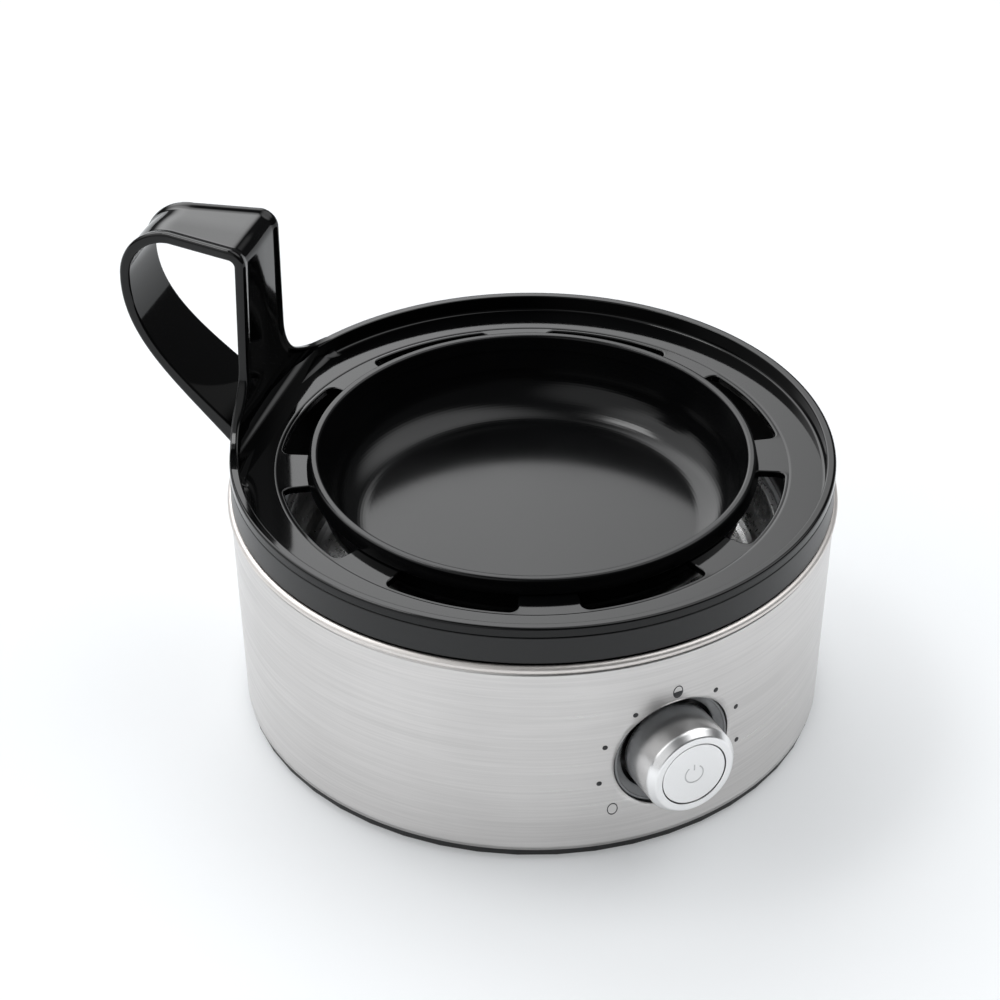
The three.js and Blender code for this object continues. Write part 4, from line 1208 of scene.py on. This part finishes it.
@dataclass
class BaseAndFeet:
    """Rubber feet and the bush of the mains inlet."""

    foot_radius: float = 7.0
    foot_top: float = 2.2
    hollow: float = 0.35
    hollow_share: float = 0.55
    sole_share: float = 0.6
    foot_segments: int = 64
    feet: int = 4
    circle_radius: float = 70.0
    first: float = 45.0
    bush_height: float = 22.0
    bush_bore: float = 3.9
    bush_neck: float = 6.0
    bush_back: float = 8.4
    bush_flange: float = 9.0
    back_start: float = 85.436
    back_end: float = 87.236
    flange_start: float = 88.934
    flange_end: float = 90.934
    flange_lip: float = 1.2
    flange_slope: tuple[float, float] = (0.4, 0.5)
    bush_segments: int = 96

    def bush(self) -> Grid:
        """The bush: a rounded flange outside the steel, a neck through it, a flange behind it.

        Returns:
            The grid.
        """
        profile = outline(
            (self.bush_bore, self.back_start, 0.2), (self.bush_back, self.back_start, 0.3),
            (self.bush_back, self.back_end, 0.2), (self.bush_neck, self.back_end, 0.1),
            (self.bush_neck, self.flange_start, 0.1), (self.bush_flange, self.flange_start, 0.3),
            (self.bush_flange - self.flange_slope[0], self.flange_end - self.flange_slope[1], 0.6),
            (self.bush_bore + self.flange_lip, self.flange_end, 0.8),
            (self.bush_bore, self.flange_end, 0.3),
        )
        return turned_level(profile, self.bush_height, self.bush_segments, rearward=True)

    def foot(self, azimuth: float) -> Grid:
        """One foot: a disc with a rounded lower edge and a shallow hollow below.

        Args:
            azimuth: the angle of its place round the body's axis.

        Returns:
            The grid.
        """
        r = self.foot_radius
        profile = outline(
            (0, self.hollow, 0), (r * self.hollow_share, self.hollow, 0.2),
            (r * self.sole_share, 0, 0.15), (r, 0, 0.6), (r, self.foot_top, 0.2),
            (0, self.foot_top, 0),
        )
        grid = turned(profile, circle(self.foot_segments), False)
        grid.points[..., :2] += arc((0, 0), self.circle_radius, azimuth)
        return grid

    def build(self) -> None:
        """Makes the four feet and the bush."""
        for index in range(self.feet):
            foot = self.foot(np.radians(self.first + 360 / self.feet * index))
            add_piece(
                f"rubber_foot_{index + 1}", [foot], Finishes.RUBBER, Body.HOUSING,
                (f"foot_{index + 1}",),
            )
        add_piece(
            "inlet_bush", [self.bush()], Finishes.RUBBER, Body.HOUSING, ("cord_grommet",),
        )


class Inside:
    """Finishes of the CAD nodes that stay shown."""

    nodes = {
        Finishes.MATT_BLACK: "base_cover terminal_block dial_encoder push_switch relay capacitor "
                             "buzzer",
        Finishes.SILICONE: "dish_seal switch_plunger",
        Finishes.DISH_METAL: "heat_plate",
        Finishes.DARK_METAL: "heating_element clamp_bar clamp_nut thermostat thermal_fuse "
                             "dial_shaft transformer tie_screw_1 tie_screw_2 tie_screw_3 "
                             "tie_screw_4",
        Finishes.LEAD: "heater_lead_1 heater_lead_2",
        Finishes.BOARD: "control_board",
    }

    def build(self) -> None:
        """Gives each node its finish."""
        for finish, names in self.nodes.items():
            for name in names.split():
                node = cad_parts[name]
                node.data.materials.clear()
                node.data.materials.append(finish.material())
                LOG.info("%s: finish %s", name, finish.name)


@dataclass(frozen=True)
class SoftBox:
    """A soft bright round patch of the sky: the azimuth and height of its middle, the angles from
    there at which it starts and is full, and its level.
    """

    azimuth: float
    height: float
    start: float
    full: float
    level: float

    def share(self, palette: Palette) -> Flow:
        """What it adds to the sky: its level times a smooth step of the angle from its middle.

        Args:
            palette: the world's nodes.

        Returns:
            The added light.
        """
        a, h = math.radians(self.azimuth), math.radians(self.height)
        aim = (math.cos(a) * math.cos(h), math.sin(a) * math.cos(h), math.sin(h))
        sky = palette.node("TexCoord", {}, {}, "Object")
        near = palette.node("VectorMath", {"operation": "DOT_PRODUCT"}, {0: sky, 1: aim}, "Value")
        low, high = (math.cos(math.radians(angle)) for angle in (self.start, self.full))
        return self.level * palette.step(near, low, high, "SMOOTHSTEP")


@dataclass
class Studio:
    """Pale floor, soft light and the camera."""

    place: Triple = (-380.40, -730.75, 633.11)
    forward: Triple = (0.37173, 0.73514, -0.56691)
    right: Triple = (0.89220, -0.45165, -0.00066)
    up: Triple = (0.25653, 0.50555, 0.82378)
    lens: float = 119.88
    sensor: float = 36
    clip: tuple[float, float] = (0.05, 50)
    floor_half: float = 4.0
    floor_colour: Triple = (0.885, 0.9, 0.915)
    glow_colour: Triple = (0.965, 0.985, 1.0)
    sky_colour: Triple = (0.985, 0.993, 1.0)
    white_colour: Triple = (0.93, 0.965, 1.0)
    lamp_place: Triple = (-0.45, 0.6, 1.6)
    lamp_size: float = 0.4
    lamp_power: float = 4
    floor_glow: float = 0.3
    dim_level: float = 0.05
    mirrored_white: float = 0.04
    boxes: tuple[SoftBox, ...] = (
        SoftBox(83.0, 36.0, 31.0, 12.0, 3.6),
        SoftBox(140.0, 42.0, 38.0, 15.0, 1.65),
        SoftBox(200.0, 30.0, 40.0, 15.0, 0.7),
        SoftBox(-5.0, 60.0, 36.0, 12.0, 2.2),
    )

    def camera(self) -> None:
        """The camera at the photograph's place."""
        data = bpy.data.cameras.new("camera")
        data.lens, data.sensor_width = self.lens, self.sensor
        data.clip_start, data.clip_end = self.clip
        camera = shown("camera", data)
        place = (np.array(self.place) + AXIS) * METRE
        columns = zip(self.right, self.up, -np.array(self.forward), place)
        camera.matrix_world = Matrix([*columns, (0, 0, 0, 1)])
        bpy.context.scene.camera = camera

    def floor(self) -> None:
        """The floor, which is pale to the camera and keeps the shadow."""
        half = self.floor_half
        mesh = bpy.data.meshes.new("studio_floor")
        corners = [(-half, -half, 0), (half, -half, 0), (half, half, 0), (-half, half, 0)]
        mesh.from_pydata(corners, [], [(0, 1, 2, 3)])
        floor = shown("studio_floor", mesh)
        made = bpy.data.materials.new("studio_floor")
        palette = Palette(made)
        pale = palette.node("BsdfDiffuse", {}, {"Color": rgba(self.floor_colour)})
        glow = palette.node("Emission", {}, {"Color": rgba(self.glow_colour), "Strength": 1.0})
        share = self.seen(palette) * self.floor_glow
        mixed = palette.node("MixShader", {}, {0: share, 1: pale, 2: glow})
        palette.node("OutputMaterial", {}, {"Surface": mixed})
        mesh.materials.append(made)

    def seen(self, palette: Palette, mirrored: float = 1.0) -> Flow:
        """1 on camera rays, the mirrored share in mirrors and glass, and 0 on other rays.

        Args:
            palette: the nodes of the material or world.
            mirrored: the share on glossy and transmission rays.

        Returns:
            The share.
        """
        camera, *others = [palette.node("LightPath", {}, {}, name)
                           for name in ("Is Camera Ray", "Is Glossy Ray", "Is Transmission Ray")]
        return camera.maths("MAXIMUM", camera, mirrored * camera.maths("MAXIMUM", *others))

    def world(self) -> None:
        """A dim sky with soft boxes round the boiler, and white to the camera."""
        world = bpy.data.worlds.new("studio")
        bpy.context.scene.world = world
        palette = Palette(world)
        first, *others = [box.share(palette) for box in self.boxes]
        level = first + self.dim_level
        for other in others:
            level = level + other
        sky = palette.node("Background", {}, {"Color": rgba(self.sky_colour), "Strength": level})
        white = palette.node("Background", {}, {"Color": rgba(self.white_colour), "Strength": 1.0})
        share = self.seen(palette, self.mirrored_white)
        mixed = palette.node("MixShader", {}, {0: share, 1: sky, 2: white})
        palette.node("OutputWorld", {}, {"Surface": mixed})

    def lamp(self) -> None:
        """The square soft key lamp, which looks at the boiler's middle."""
        data = bpy.data.lights.new("key_lamp", "AREA")
        data.shape, data.size, data.energy = "SQUARE", self.lamp_size, self.lamp_power
        lamp = shown("key_lamp", data)
        lamp.location = self.lamp_place
        lamp.rotation_mode = "QUATERNION"
        lamp.rotation_quaternion = (-Vector(self.lamp_place)).to_track_quat("-Z", "Y")

    def build(self) -> None:
        """Sets up the whole studio."""
        self.camera()
        self.floor()
        self.world()
        self.lamp()
        bpy.context.scene.view_settings.view_transform = "Standard"


def main() -> None:
    """Builds the studio and every sub-assembly."""
    logging.basicConfig(level=logging.INFO, format="%(message)s")
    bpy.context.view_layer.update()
    steel = SteelBody()
    parts = (
        Studio(), steel, Collar(), TrayRing(), PoachingBowl(), Dial(), HeatingDish(), Marks(steel),
        BaseAndFeet(), Inside(),
    )
    for part in parts:
        LOG.info("building %s", type(part).__name__)
        part.build()
    bpy.context.view_layer.update()


if __name__ == "__main__":
    main()
